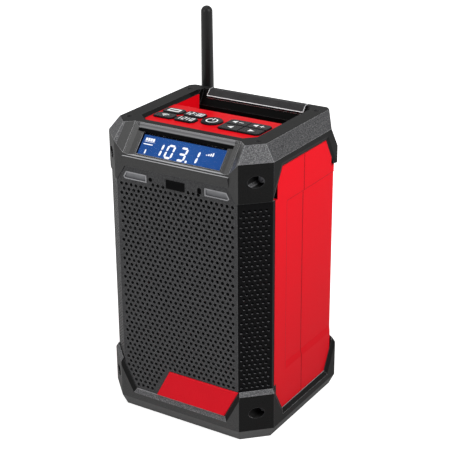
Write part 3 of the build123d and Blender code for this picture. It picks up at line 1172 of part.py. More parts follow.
with BuildPart() as battery_bay:
    with BuildSketch(BACK_PLANE):
        with Locations((0, BAY_MID)):
            Rectangle(2 * (BAY_HALF + BAY_WALL), BAY_H + 2 * BAY_WALL)
    extrude(amount=BAY_DEPTH + BAY_WALL)
    # flange behind the panel
    with BuildSketch(Plane.XZ.offset(-(PANEL_FACE - PANEL_T - SEAT))):
        with Locations((0, BAY_MID)):
            Rectangle(2 * (BAY_HALF + BAY_WALL + BAY_LIP), BAY_H + 2 * (BAY_WALL + BAY_LIP))
    extrude(amount=BAY_WALL)
    with BuildSketch(BACK_PLANE):
        with Locations((0, BAY_MID)):
            Rectangle(2 * BAY_HALF, BAY_H)
    extrude(amount=BAY_DEPTH, mode=Mode.SUBTRACT)
    # rails that hold the slide-in pack
    for side in (-1, 1):
        with BuildSketch(Plane.XZ.offset(RAIL_IN - PANEL_FACE)):
            with Locations((side * (BAY_HALF - RAIL_W / 2), BAY_MID - TERMINAL_H / 2)):
                Rectangle(RAIL_W, BAY_H - TERMINAL_H)
        extrude(amount=RAIL_D)
export(battery_bay, "battery_bay")

with BuildPart() as terminal_block:
    with BuildSketch(Plane.XZ.offset(-BAY_BACK - SEAT)):
        with Locations((0, BAY_TOP - SEAT - TERMINAL_H / 2)):
            Rectangle(2 * TERMINAL_HALF, TERMINAL_H)
    extrude(amount=-TERMINAL_D)
    chamfer(terminal_block.faces().sort_by(Axis.Y)[-1].edges(), TERMINAL_EDGE)
export(terminal_block, "terminal_block")

with BuildPart() as terminal_blades:
    with BuildSketch(Plane.XY.offset(BAY_TOP - 2 * SEAT - TERMINAL_H)):
        for step in (-1, 0, 1):
            with Locations((step * TERMINAL_PITCH, BAY_BACK + TERMINAL_D / 2)):
                Rectangle(BLADE_T, BLADE_W)
    extrude(amount=-BLADE_L)
export(terminal_blades, "terminal_blades")

with BuildPart() as socket_panel:
    with BuildSketch(Plane.XZ.offset(PORT_BACK - PANEL_FACE)):
        with Locations((PORT_X, PORT_MID)):
            Rectangle(2 * (PORT_HALF - SEAT), PORT_H - 2 * SEAT)
    extrude(amount=PORT_DEPTH - PORT_BACK)
    with BuildSketch(Plane.XZ.offset(PORT_BACK - PANEL_FACE)):
        with Locations((PORT_X, PORT_TOP - USB_TOP_DROP)):
            Rectangle(USB_W, USB_H)
        with Locations((PORT_X, PORT_TOP - JACK_DROP)):
            RegularPolygon(JACK_R, 12)
        with Locations((PORT_X, PORT_TOP - SUPPLY_DROP)):
            RegularPolygon(SUPPLY_R, 16)
    extrude(amount=PORT_DEPTH - PORT_BACK - SOCKET_FLOOR, mode=Mode.SUBTRACT)
    # tongue of the charging socket and pin of the supply socket
    with BuildSketch(Plane.XZ.offset(PORT_BACK - PANEL_FACE)):
        with Locations((PORT_X, PORT_TOP - USB_TOP_DROP + USB_H / 6)):
            Rectangle(*USB_TONGUE)
        with Locations((PORT_X, PORT_TOP - SUPPLY_DROP)):
            RegularPolygon(SUPPLY_PIN_R, 8)
    extrude(amount=PORT_DEPTH - PORT_BACK)
export(socket_panel, "socket_panel")

with BuildPart() as port_door:
    door_low = PORT_LOW - DOOR_LAP
    knuckle = 2 * (DOOR_HALF - LUG_W - GAP)
    door_plane = Plane.XZ.offset(-PANEL_FACE - SEAT)
    with BuildSketch(door_plane):
        with Locations((PORT_X, (door_low + PORT_TOP + DOOR_LAP - GAP) / 2)):
            Rectangle(2 * DOOR_HALF, PORT_TOP + DOOR_LAP - GAP - door_low)
    extrude(amount=-DOOR_T)
    chamfer(port_door.faces().sort_by(Axis.Y)[-1].edges().sort_by(Axis.Z)[:3], DOOR_EDGE)
    with BuildSketch(door_plane):
        with Locations((PORT_X, (PORT_TOP + HINGE_Z) / 2)):
            Rectangle(knuckle, HINGE_Z - PORT_TOP)
    extrude(amount=-DOOR_T)
    with BuildSketch(Plane.YZ.offset(PORT_X)):
        with Locations((HINGE_Y, HINGE_Z)):
            Circle(HINGE_R)
    extrude(amount=knuckle / 2, both=True)
    # finger lip at the foot
    with BuildSketch(Plane.XZ.offset(-PANEL_FACE - SEAT - DOOR_T)):
        with Locations((PORT_X, door_low + DOOR_GRIP_UP)):
            Rectangle(DOOR_GRIP[0], DOOR_GRIP[1])
    extrude(amount=-DOOR_GRIP[2])
    with BuildSketch(Plane.YZ.offset(PORT_X)):
        with Locations((HINGE_Y, HINGE_Z)):
            Circle(HINGE_PIN_R + HINGE_FREE)
    extrude(amount=knuckle, both=True, mode=Mode.SUBTRACT)
export(port_door, "port_door")

with BuildPart() as port_door_pin:
    with BuildSketch(Plane.YZ.offset(PORT_X)):
        with Locations((HINGE_Y, HINGE_Z)):
            Circle(HINGE_PIN_R)
    extrude(amount=DOOR_HALF, both=True)
export(port_door_pin, "port_door_pin")

with BuildPart() as main_board:
    with BuildSketch(Plane.XZ.offset(BAY_WALL + SEAT - BAY_BACK)):
        with Locations((0, BAY_MID)):
            Rectangle(2 * (BAY_HALF + BOARD_OUT), BAY_H - 2 * BOARD_LESS)
    extrude(amount=BOARD_T)
    with BuildSketch(Plane.XZ.offset(BAY_WALL + SEAT + BOARD_T - BAY_BACK)):
        for (width, height), (x, z) in ((CHIP, CHIP_AT), (COIL, COIL_AT)):
            with Locations((x, BAY_MID + z)):
                Rectangle(width, height)
    extrude(amount=CHIP_H)
export(main_board, "main_board")

# ================================================================ screws
with BuildPart() as corner_screws:
    screws_at = [(side * x, z) for side in (-1, 1)
                 for x, z in ((LOWER_SCREW_X, LOWER_SCREW_Z), (UPPER_SCREW_X, UPPER_SCREW_Z))]
    with BuildSketch(Plane.XZ.offset(SEAT - SCREW_SEAT_Y)):
        with Locations(*screws_at):
            RegularPolygon(SCREW_HEAD_R, 16)
    extrude(amount=SCREW_HEAD_H)
    chamfer(corner_screws.edges().group_by(Axis.Y)[0], 0.5)
    with BuildSketch(Plane.XZ.offset(SEAT + SCREW_HEAD_H - SCREW_SEAT_Y)):
        with Locations(*screws_at):
            RegularPolygon(SCREW_SOCKET_R, 6)
    extrude(amount=-SCREW_SOCKET_H, mode=Mode.SUBTRACT)
    with BuildSketch(Plane.XZ.offset(SEAT - SCREW_SEAT_Y)):
        with Locations(*screws_at):
            RegularPolygon(SCREW_R, 10)
    extrude(amount=SCREW_SEAT_Y - SCREW_END_Y)
export(corner_screws, "corner_screws")

with BuildPart() as rear_screws:
    rear_at = [(side * x, z) for side in (-1, 1) for x, z in (REAR_SCREW_TOP, REAR_SCREW_LOW)]
    with BuildSketch(Plane.XZ.offset(-PANEL_FACE - SEAT)):
        with Locations(*rear_at):
            RegularPolygon(REAR_HEAD_R, 12)
    extrude(amount=-REAR_HEAD_H)
    chamfer(rear_screws.edges().group_by(Axis.Y)[-1], 0.5)
    with BuildSketch(Plane.XZ.offset(-PANEL_FACE - SEAT - REAR_HEAD_H)):
        with Locations(*rear_at):
            Rectangle(REAR_CROSS[0], REAR_CROSS[1])
            Rectangle(REAR_CROSS[1], REAR_CROSS[0])
    extrude(amount=REAR_CROSS[2], mode=Mode.SUBTRACT)
    with BuildSketch(Plane.XZ.offset(-PANEL_FACE - SEAT)):
        with Locations(*rear_at):
            RegularPolygon(REAR_SCREW_R, 8)
    extrude(amount=PANEL_FACE - BODY_REAR + 2 * WALL)
export(rear_screws, "rear_screws")

# ================================================================ aerial
with BuildPart() as antenna_collar:
    with BuildSketch(Plane.XY.offset(PANEL_TOP + SEAT)):
        with Locations((WHIP_X, WHIP_Y)):
            RegularPolygon(COLLAR_R, COLLAR_SIDES)
    extrude(amount=COLLAR_H - 2 * SEAT)
    with BuildSketch(Plane.XY.offset(PANEL_TOP + SEAT)):
        with Locations((WHIP_X, WHIP_Y)):
            RegularPolygon(STUD_R, COLLAR_SIDES // 2)
    extrude(amount=-STUD_L)
export(antenna_collar, "antenna_collar")

def whip_step(low, low_r, high, high_r):
    """Solid of flats of the aerial between two heights and their radii."""
    flats = math.cos(math.pi / WHIP_SIDES)
    with BuildPart() as step:
        with BuildSketch(Plane.XY.offset(low)):
            with Locations((WHIP_X, WHIP_Y)):
                RegularPolygon(low_r, WHIP_SIDES)
        extrude(amount=high - low,
                taper=math.degrees(math.atan2((low_r - high_r) * flats, high - low)))
    return step.part


with BuildPart() as antenna:
    shoulder = WHIP_TOP - WHIP_TIP_R
    crown = WHIP_TOP - WHIP_TIP_R + WHIP_TIP_R * math.sin(WHIP_CROWN)
    crown_r = WHIP_TIP_R * math.cos(WHIP_CROWN)
    add(whip_step(WHIP_LOW, WHIP_R - WHIP_EDGE, WHIP_LOW + WHIP_EDGE, WHIP_R))
    add(whip_step(WHIP_LOW + WHIP_EDGE, WHIP_R, shoulder, WHIP_TIP_R))
    # rounded tip
    add(whip_step(shoulder, WHIP_TIP_R, crown, crown_r))
    add(whip_step(crown, crown_r, WHIP_TOP, WHIP_TIP_FLAT))
export(antenna, "antenna")
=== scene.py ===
"""Looks of the jobsite radio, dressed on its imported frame. Metres, the frame's own axes."""
import math

import bmesh
import bpy
from mathutils import Matrix, Vector
from mathutils.geometry import convex_hull_2d, delaunay_2d_cdt


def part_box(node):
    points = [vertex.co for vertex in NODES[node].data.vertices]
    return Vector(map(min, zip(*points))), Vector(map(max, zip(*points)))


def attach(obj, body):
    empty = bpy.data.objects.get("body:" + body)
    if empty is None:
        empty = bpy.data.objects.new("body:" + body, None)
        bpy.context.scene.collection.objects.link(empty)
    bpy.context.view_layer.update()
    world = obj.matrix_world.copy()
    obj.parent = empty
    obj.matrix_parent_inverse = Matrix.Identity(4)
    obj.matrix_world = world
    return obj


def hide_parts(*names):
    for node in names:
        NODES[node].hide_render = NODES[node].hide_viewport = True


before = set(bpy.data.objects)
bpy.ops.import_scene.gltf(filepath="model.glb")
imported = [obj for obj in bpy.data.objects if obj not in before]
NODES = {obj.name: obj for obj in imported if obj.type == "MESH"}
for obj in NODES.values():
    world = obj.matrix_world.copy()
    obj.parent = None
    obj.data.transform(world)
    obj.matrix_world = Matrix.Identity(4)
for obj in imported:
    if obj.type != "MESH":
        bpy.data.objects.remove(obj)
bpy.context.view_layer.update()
scene = bpy.context.scene
scene.view_settings.view_transform = "Standard"
MM = 0.001
WHITE = (1.0, 1.0, 1.0, 1.0)
STATUS_WINDOWS = ("status_window_left", "status_window_right")

# ---- camera, as in the photograph
IMAGE_SIDE = 450.0
AZIMUTH = math.radians(32.41)
ELEVATION = math.radians(22.58)
ROLL = math.radians(-0.49)
DISTANCE = 1.11178
TARGET = Vector((0.00019, 0.00899, 0.15896))
FOCAL_PX = 1284.74
CENTRE_PX = (225.14, 224.52)
SENSOR_MM = 36.0


def make_camera():
    """Camera at the photograph's angle; its roll and shift are as small as the framing needs."""
    back = Vector((math.sin(AZIMUTH) * math.cos(ELEVATION),
                   -math.cos(AZIMUTH) * math.cos(ELEVATION),
                   math.sin(ELEVATION)))
    right = Vector((math.cos(AZIMUTH), math.sin(AZIMUTH), 0.0))
    up = back.cross(right)
    rolled_right = right * math.cos(ROLL) + up * math.sin(ROLL)
    rolled_up = up * math.cos(ROLL) - right * math.sin(ROLL)
    data = bpy.data.cameras.new("camera")
    data.sensor_width = SENSOR_MM
    data.lens = FOCAL_PX * SENSOR_MM / IMAGE_SIDE
    data.shift_x = (IMAGE_SIDE / 2 - CENTRE_PX[0]) / IMAGE_SIDE
    data.shift_y = (CENTRE_PX[1] - IMAGE_SIDE / 2) / IMAGE_SIDE
    camera = bpy.data.objects.new("camera", data)
    scene.collection.objects.link(camera)
    camera.matrix_world = Matrix((rolled_right, rolled_up, back)).transposed().to_4x4()
    camera.location = TARGET + back * DISTANCE
    scene.camera = camera


# ---- nodes
def as_colour(value):
    """The grey of a number; a colour stays as it is."""
    return value if isinstance(value, tuple) else (value, value, value, 1.0)


def feed(tree, socket, value):
    """Links or sets one input; None leaves it."""
    if isinstance(value, bpy.types.NodeSocket):
        tree.links.new(value, socket)
    elif value is not None:
        socket.default_value = as_colour(value) if socket.type == "RGBA" else value


def add_node(tree, kind, *values, **settings):
    """Adds a node; values go to its inputs in order."""
    node = tree.nodes.new(kind)
    for label, value in settings.items():
        setattr(node, label, value)
    for socket, value in zip(node.inputs, values):
        feed(tree, socket, value)
    return node


# ---- light, floor, world
WORLD_LIGHT = 0.2
AIM = Vector((0.0, 0.0, 0.13))      # the point that the lamps look at
FLOOR_SIDE = 6.0
FLOOR_Z = -0.5 * MM                 # just below the radio's base
FLOOR_COLOUR = (0.86, 0.86, 0.86, 1.0)
FLOOR_ROUGHNESS = 0.9
GLOW_REACH = (0.2, 0.6)             # two distances from the radio's foot ...
GLOW = (0.7, 1.0)                   # ... and the light added there to the floor that is seen


def area_light(name, place, size, power):
    """A square soft box at place, aimed at the middle of the radio."""
    data = bpy.data.lights.new(name, "AREA")
    data.size = size
    data.energy = power
    lamp = bpy.data.objects.new(name, data)
    scene.collection.objects.link(lamp)
    lamp.location = place
    lamp.rotation_euler = (AIM - Vector(place)).to_track_quat("-Z", "Y").to_euler()


def white_when_seen(tree, lit, seen, surface):
    """Shows seen to the camera and in mirrors and glass, and lit to everything else."""
    path = tree.nodes.new("ShaderNodeLightPath").outputs
    looked_at = path["Is Camera Ray"]
    for ray in ("Is Glossy Ray", "Is Transmission Ray"):
        either = add_node(tree, "ShaderNodeMath", looked_at, path[ray], operation="MAXIMUM")
        looked_at = either.outputs[0]
    mix = add_node(tree, "ShaderNodeMixShader", looked_at, lit.outputs[0], seen.outputs[0])
    feed(tree, surface, mix.outputs[0])


def make_world():
    """Plain white surroundings that add only a soft fill to the object."""
    world = bpy.data.worlds.new("studio")
    scene.world = world
    world.use_nodes = True
    tree = world.node_tree
    tree.nodes.clear()
    out = tree.nodes.new("ShaderNodeOutputWorld")
    lit = add_node(tree, "ShaderNodeBackground", WHITE, WORLD_LIGHT)
    seen = add_node(tree, "ShaderNodeBackground", WHITE, 1.0)
    white_when_seen(tree, lit, seen, out.inputs["Surface"])


def make_floor():
    """White table top with the radio's shadow, plain white further out."""
    bpy.ops.mesh.primitive_plane_add(size=FLOOR_SIDE, location=(0.0, 0.0, FLOOR_Z))
    floor = bpy.context.object
    floor.name = "floor"
    material = bpy.data.materials.new("floor_white")
    material.use_nodes = True
    tree = material.node_tree
    paper = tree.nodes["Principled BSDF"]
    paper.inputs["Base Color"].default_value = FLOOR_COLOUR
    paper.inputs["Roughness"].default_value = FLOOR_ROUGHNESS
    place = tree.nodes.new("ShaderNodeTexCoord").outputs["Object"]
    away = add_node(tree, "ShaderNodeVectorMath", place, operation="LENGTH").outputs["Value"]
    strength = add_node(tree, "ShaderNodeMapRange", away, *GLOW_REACH, *GLOW).outputs[0]
    glow = add_node(tree, "ShaderNodeEmission", WHITE, strength)
    both = add_node(tree, "ShaderNodeAddShader", paper.outputs[0], glow.outputs[0])
    white_when_seen(tree, paper, both, tree.nodes["Material Output"].inputs["Surface"])
    floor.data.materials.append(material)


def make_lights():
    """Soft boxes: the main one at the right, one at the left front, a weak one above."""
    area_light("main_light", (0.95, -0.05, 0.80), 0.7, 10.5)
    area_light("front_light", (-0.55, -1.05, 0.80), 0.9, 8.0)
    area_light("top_light", (-0.1, -0.2, 1.35), 0.9, 3.5)


# ---- node materials
def tint(red, green, blue):
    """Linear colour of an 8-bit display colour."""
    return tuple(((c / 255 + 0.055) / 1.055) ** 2.4 for c in (red, green, blue)) + (1.0,)


def shade(colour, factor, lift=0.0):
    """A darker or paler colour."""
    return tuple(min(1.0, c * factor + lift) for c in colour[:3]) + (1.0,)


class Finish:
    """One procedural material: a Principled shader and the nodes that feed it."""

    def __init__(self, name, **sockets):
        self.material = bpy.data.materials.new(name)
        self.material.use_nodes = True
        self.tree = self.material.node_tree
        self.tree.nodes.clear()
        out = self.node("ShaderNodeOutputMaterial")
        self.shader = self.node("ShaderNodeBsdfPrincipled")
        feed(self.tree, out.inputs["Surface"], self.shader.outputs[0])
        self.place = self.node("ShaderNodeTexCoord").outputs["Object"]
        self.facing = self.node("ShaderNodeTexCoord").outputs["Normal"]
        for label, value in sockets.items():
            self.set(label.replace("_", " "), value)

    def node(self, kind, *values, **settings):
        """Adds a node to the material."""
        return add_node(self.tree, kind, *values, **settings)

    def set(self, label, value):
        """Feeds one input of the shader."""
        feed(self.tree, self.shader.inputs[label], value)

    def calc(self, operation, *values):
        """Result of one Math node."""
        return self.node("ShaderNodeMath", *values, operation=operation).outputs[0]

    def absolute(self, value):
        """Value without its sign."""
        return self.calc("ABSOLUTE", value)

    def below(self, value, limit):
        """Mask of the points whose value is under a limit."""
        return self.calc("LESS_THAN", value, limit)

    def above(self, value, limit):
        """Mask of the points whose value is over a limit."""
        return self.calc("GREATER_THAN", value, limit)

    def outside(self, mask):
        """Mask of what another mask leaves out."""
        return self.calc("SUBTRACT", 1.0, mask)

    def within(self, first, *others):
        """Mask of what all the masks cover."""
        for mask in others:
            first = self.calc("MULTIPLY", first, mask)
        return first

    def at(self, axis):
        """One coordinate of each point."""
        return self.node("ShaderNodeSeparateXYZ", self.place).outputs["XYZ".index(axis)]

    def faces(self, axis):
        """How far each point's normal points along an axis, from -1 to 1."""
        return self.node("ShaderNodeSeparateXYZ", self.facing).outputs["XYZ".index(axis)]

    def along(self, direction, origin):
        """Distance of each point from origin along a direction."""
        dot = self.node("ShaderNodeVectorMath", self.place, tuple(direction),
                        operation="DOT_PRODUCT")
        return self.calc("SUBTRACT", dot.outputs["Value"], origin.dot(direction))

    def noise(self, size, detail=3.0, roughness=0.6, stretch=(1.0, 1.0, 1.0)):
        """Noise from 0 to 1 whose lumps are about size metres across."""
        mapping = self.node("ShaderNodeMapping", self.place, None, None, stretch)
        noise = self.node("ShaderNodeTexNoise", mapping.outputs[0], None, 1.0 / size, detail,
                          roughness)
        return noise.outputs["Fac"]

    def cell_walls(self, size):
        """Distance to the walls between cells about size metres across, in cells."""
        cells = self.node("ShaderNodeTexVoronoi", self.place, None, 1.0 / size,
                          feature="DISTANCE_TO_EDGE")
        return cells.outputs["Distance"]

    def ramp(self, factor, *stops):
        """Colour ramp of (place, colour or grey) stops."""
        node = self.node("ShaderNodeValToRGB", factor)
        ramp = node.color_ramp
        while len(ramp.elements) < len(stops):
            ramp.elements.new(1.0)
        for element, (place, colour) in zip(ramp.elements, stops):
            element.position = place
            element.color = as_colour(colour)
        return node.outputs[0]

    def tones(self, noise, dark, light):
        """Two tones spread over a noise."""
        return self.ramp(noise, (0.35, dark), (0.65, light))

    def mix(self, factor, first, second, blend="MIX"):
        """Mix of two colours."""
        node = self.node("ShaderNodeMix", data_type="RGBA", blend_type=blend)
        inputs = {socket.identifier: socket for socket in node.inputs}
        for label, value in (("Factor_Float", factor), ("A_Color", first), ("B_Color", second)):
            feed(self.tree, inputs[label], value)
        return {socket.identifier: socket for socket in node.outputs}["Result_Color"]

    def times(self, first, second):
        """Product of two colours."""
        return self.mix(1.0, first, second, "MULTIPLY")

    def rounded(self, radius):
        """Normals as if the edges were rounded, for light that catches on them."""
        return self.node("ShaderNodeBevel", radius, samples=4).outputs[0]

    def edges(self, radius, low=0.01, high=0.12):
        """Mask that is 1 along the edges and 0 on the flats."""
        flat = self.node("ShaderNodeNewGeometry").outputs["True Normal"]
        dot = self.node("ShaderNodeVectorMath", self.rounded(radius), flat,
                        operation="DOT_PRODUCT")
        return self.ramp(self.outside(dot.outputs["Value"]), (low, 0.0), (high, 1.0))

    def bump(self, height, depth, normal=None):
        """Relief of depth metres, on top of a given normal."""
        node = self.node("ShaderNodeBump", None, depth, None, height, normal)
        self.set("Normal", node.outputs[0])


def moulded(name, colour, gloss=0.45, grain=0.9, relief=0.03, mottle=0.12, edge=0.5,
            specular=0.15, edge_highlight=1.5):
    """Moulded plastic or rubber: fine grain, slight mottling, edges rounded and made a bit paler
    with a painted highlight.
    Grain, relief and edge are in millimetres."""
    finish = Finish(name, Roughness=gloss, Specular_IOR_Level=specular)
    fine = finish.noise(grain * MM, 4.0, 0.7)
    broad = finish.noise(30 * MM, 2.0)
    base = finish.tones(finish.mix(0.4, fine, broad), shade(colour, 1 - mottle),
                        shade(colour, 1 + mottle))
    # painted highlight: the edges are made paler, as if light caught on them
    pale = shade(colour, edge_highlight, 0.004)
    finish.set("Base Color", finish.mix(finish.edges(edge * MM), base, pale))
    finish.set("Roughness", finish.ramp(fine, (0.3, gloss - 0.06), (0.7, gloss + 0.06)))
    finish.bump(fine, relief * MM, finish.rounded(edge * MM))
    return finish.material


def metal(name, colour, gloss=0.3, brushed=(1.0, 1.0, 1.0)):
    """Plain metal with faint scratches along one direction."""
    finish = Finish(name, Metallic=1.0)
    scratches = finish.noise(0.6 * MM, 4.0, 0.7, brushed)
    finish.set("Base Color", finish.tones(scratches, shade(colour, 0.8), colour))
    finish.set("Roughness", finish.ramp(scratches, (0.3, gloss - 0.08), (0.7, gloss + 0.1)))
    finish.bump(scratches, 0.01 * MM, finish.rounded(0.2 * MM))
    return finish.material


# ---- the frame's black
SURROUND_HALF = 57.0 * MM   # the display, the keys and the handle lie inside this half width
SURROUND_LOW = 235.0 * MM   # and above this
SURROUND_BACK = -41.0 * MM  # the display's slopes lie before this
HOLLOW_FRONT = 41.0 * MM    # and the hollow behind the handle lies behind this
LEDGE_TOP = 239.0 * MM      # the ledge under the display lies lower than this
TRAY_MARGIN = 5.5 * MM      # from the display panel's ends to the slopes beside it
BROW_HEIGHT = 5.0 * MM      # from the display panel up to the brow's top
BROW_STRIP = 0.55           # share of it painted as a black step of shadow over the window
FOOT_TOP = 12.0 * MM        # the slanted face under the front rail ends here
SIDE_RAIL_TOP = 60.0 * MM   # the lower frame's slanted side rails have no stipple
LEVEL = 0.9                 # a face looks along an axis where its normal passes this


class FrameFinish(Finish):
    """Black plastic of the frame, with the masks that tell its faces apart."""

    def __init__(self):
        super().__init__("frame_black", Specular_IOR_Level=0.02, Coat_Roughness=0.22,
                         Coat_IOR=1.5)
        self.up, self.front = self.faces("Z"), self.faces("Y")
        self.depth, self.height = self.at("Y"), self.at("Z")
        self.sideways = self.absolute(self.at("X"))
        self.fine = self.noise(0.5 * MM, 3.0, 0.7)
        self.coarse = self.noise(0.9 * MM, 3.0, 0.75)
        self.sloping = self.below(self.up, LEVEL)
        self.inner = self.within(self.below(self.sideways, SURROUND_HALF),
                                 self.above(self.height, SURROUND_LOW))
        slanted = self.ramp(self.up, (0.3, 0.0), (0.42, 1.0), (0.8, 1.0), (0.9, 0.0))
        self.grained = self.within(slanted, self.outside(self.inner))
        self.polished = self.within(self.inner, self.below(self.depth, SURROUND_BACK),
                                    self.below(self.absolute(self.up), LEVEL),
                                    self.below(self.absolute(self.front), LEVEL))

    def speckled(self, level, spread=8):
        """Grey of an 8-bit level with darker and paler specks."""
        return self.tones(self.fine, tint(*[level - spread] * 3), tint(*[level + spread] * 3))

    def face_light_and_shade(self):
        """Painted light and shade by which way each face looks: dark flanks, a paler level top,
        much paler faces that look to the front, a painted shade in the recess behind the handle,
        and a painted reflection of the table on the slanted face at the foot.
        """
        base = self.speckled(25, 6)
        # painted light: the level top is a little paler than the flanks
        base = self.mix(self.ramp(self.up, (0.9, 0.0), (0.98, 1.0)), base, self.speckled(34, 4))
        # painted light: faces that look to the front are much paler
        lit_forward = self.ramp(self.calc("MULTIPLY", self.front, -1.0), (0.9, 0.0), (0.97, 1.0))
        base = self.mix(lit_forward, base, self.speckled(70))
        # painted shade: the recess behind the handle is near black
        hollow_shade = self.within(self.inner, self.above(self.depth, HOLLOW_FRONT), self.sloping)
        base = self.mix(hollow_shade, base, tint(8, 8, 8))
        # painted reflection of the table: the slanted face at the foot is pale
        foot = self.within(self.below(self.up, -0.2), self.below(self.height, FOOT_TOP),
                           self.below(self.front, -0.3))
        return self.mix(foot, base, self.speckled(84))

    def surround(self, base):
        """Adds the display's surround: paler flanks as painted light, a slope over the window with
        a painted highlight that fades down to a black step of painted shadow, faces that look down
        painted black as shade, and a pale painted highlight on the flat step under the display.
        Gives the mask of the painted shadow step too."""
        seat = lcd_seat()
        rise = self.calc("SUBTRACT", self.along(seat.up, seat.middle), seat.half.y)
        share = self.calc("DIVIDE", rise, BROW_HEIGHT)
        # painted light: the flanks beside the display are paler
        lit_flank = self.within(self.polished, self.above(self.sideways, seat.half.x + TRAY_MARGIN))
        base = self.mix(lit_flank, base, self.speckled(52))
        over = self.within(self.inner, self.below(self.depth, SURROUND_BACK),
                           self.above(rise, 0.0), self.sloping,
                           self.below(self.sideways, seat.half.x + TRAY_MARGIN))
        # painted highlight over the window that fades down to a black step of painted shadow
        brow_light_and_shadow = self.ramp(share, (0.50, tint(4, 4, 5)), (0.58, tint(60, 60, 61)),
                         (0.68, tint(146, 146, 148)), (0.95, tint(112, 112, 114)))
        # painted shade: faces that look down are black
        brow_light_and_shadow = self.mix(self.below(self.up, 0.0), brow_light_and_shadow, tint(5, 5, 6))
        base = self.mix(over, base, brow_light_and_shadow)
        # painted highlight: the flat step under the display is pale
        ledge_highlight = self.within(self.above(self.up, LEVEL), self.above(self.height, SURROUND_LOW),
                            self.below(self.height, LEDGE_TOP))
        base = self.mix(ledge_highlight, base, tint(176, 176, 178))
        return base, self.within(over, self.below(share, BROW_STRIP))

    def stippled(self, base):
        """Adds the stipple of the slanted facets: the grain is their own, its pale level is a
        painted sheen, and it is dimmer on the side bands as painted shade.
        """
        # the stipple is the facets' own grain; its pale level is a painted sheen
        stipple = self.ramp(self.coarse, (0.36, tint(64, 64, 66)), (0.5, tint(90, 90, 92)),
                            (0.66, tint(138, 138, 138)))
        # painted shade: dimmer where the facet looks sideways, on the side bands
        side_band_shade = self.ramp(self.absolute(self.faces("X")), (0.6, 1.0), (0.75, 0.62))
        side_rail = self.within(self.below(self.height, SIDE_RAIL_TOP),
                                self.above(self.front, -0.3))
        return self.mix(self.within(self.grained, self.outside(side_rail)), base,
                        self.times(stipple, side_band_shade))


def frame_black():
    """Black frame: faces painted lighter or darker by which way they look, a glossier display
    surround with painted highlights and shadow, stippled slanted facets with a painted sheen, and
    painted highlights along the edges.
    """
    finish = FrameFinish()
    base, shadow_strip = finish.surround(finish.face_light_and_shade())
    base = finish.stippled(base)
    off_shadow_strip = finish.outside(shadow_strip)
    # painted highlight along the edges, paler on the stippled and glossy faces and left off the
    # painted shadow step
    pale = finish.mix(finish.calc("MAXIMUM", finish.grained, finish.polished),
                      tint(70, 70, 72), tint(176, 176, 178))
    edge_highlight = finish.within(finish.edges(0.6 * MM, 0.01, 0.06), off_shadow_strip)
    finish.set("Base Color", finish.mix(edge_highlight, base, pale))
    finish.set("Roughness", finish.mix(finish.grained,
                                       finish.ramp(finish.fine, (0.3, 0.4), (0.7, 0.5)),
                                       finish.ramp(finish.coarse, (0.3, 0.5), (0.7, 0.62))))
    finish.set("Coat Weight", finish.within(finish.polished, off_shadow_strip))
    finish.bump(finish.mix(finish.grained, finish.fine, finish.coarse), 0.03 * MM,
                finish.rounded(0.6 * MM))
    return finish.material


# ---- the other finishes
SATIN = {"grain": 0.8, "relief": 0.01, "edge": 0.4}
PRINT = {"grain": 0.6, "relief": 0.01, "edge": 0.1}
SHELL_TOP = 260.0 * MM
SHELL_FRONT = -36.0 * MM    # the housing's faces before this are behind the grille and painted black as shadow
GRILLE_BEND = 58.5 * MM     # half width of the grille's flat front
GRIP_MARGIN = 2.0 * MM      # the grip's painted highlight line takes the outer quarter of this
THREAD_PITCH = 0.9 * MM
LCD_BORDER = 0.6 * MM
LCD_SHADOW_STRIP = 1.3 * MM        # black strip along the display's upper edge, painted shadow of the lip above it
LCD_DOT = 0.55 * MM


def shell_red():
    """Glossy red housing, darker towards its foot as painted shade, with painted shade along its
    edges and a painted black shadow on its faces behind the grille.
    """
    finish = Finish("shell_red", Specular_IOR_Level=0.02)
    # painted shade: darker towards the foot, as the light falls from above
    body = finish.ramp(finish.calc("DIVIDE", finish.at("Z"), SHELL_TOP),
                       (0.1, tint(192, 10, 25)), (0.9, tint(223, 12, 29)))
    fine = finish.noise(0.8 * MM, 3.0, 0.7)
    base = finish.times(body, finish.tones(fine, 0.93, 1.0))
    # painted shade along the edges and creases
    base = finish.mix(finish.edges(1.2 * MM, 0.002, 0.03), base, tint(132, 6, 15))
    # painted shadow: the faces behind the grille are near black
    behind = finish.within(finish.below(finish.at("Y"), SHELL_FRONT),
                           finish.below(finish.faces("Y"), -0.5))
    finish.set("Base Color", finish.mix(behind, base, tint(6, 5, 5)))
    finish.set("Roughness", finish.ramp(fine, (0.3, 0.36), (0.7, 0.48)))
    finish.bump(fine, 0.02 * MM, finish.rounded(0.6 * MM))
    return finish.material


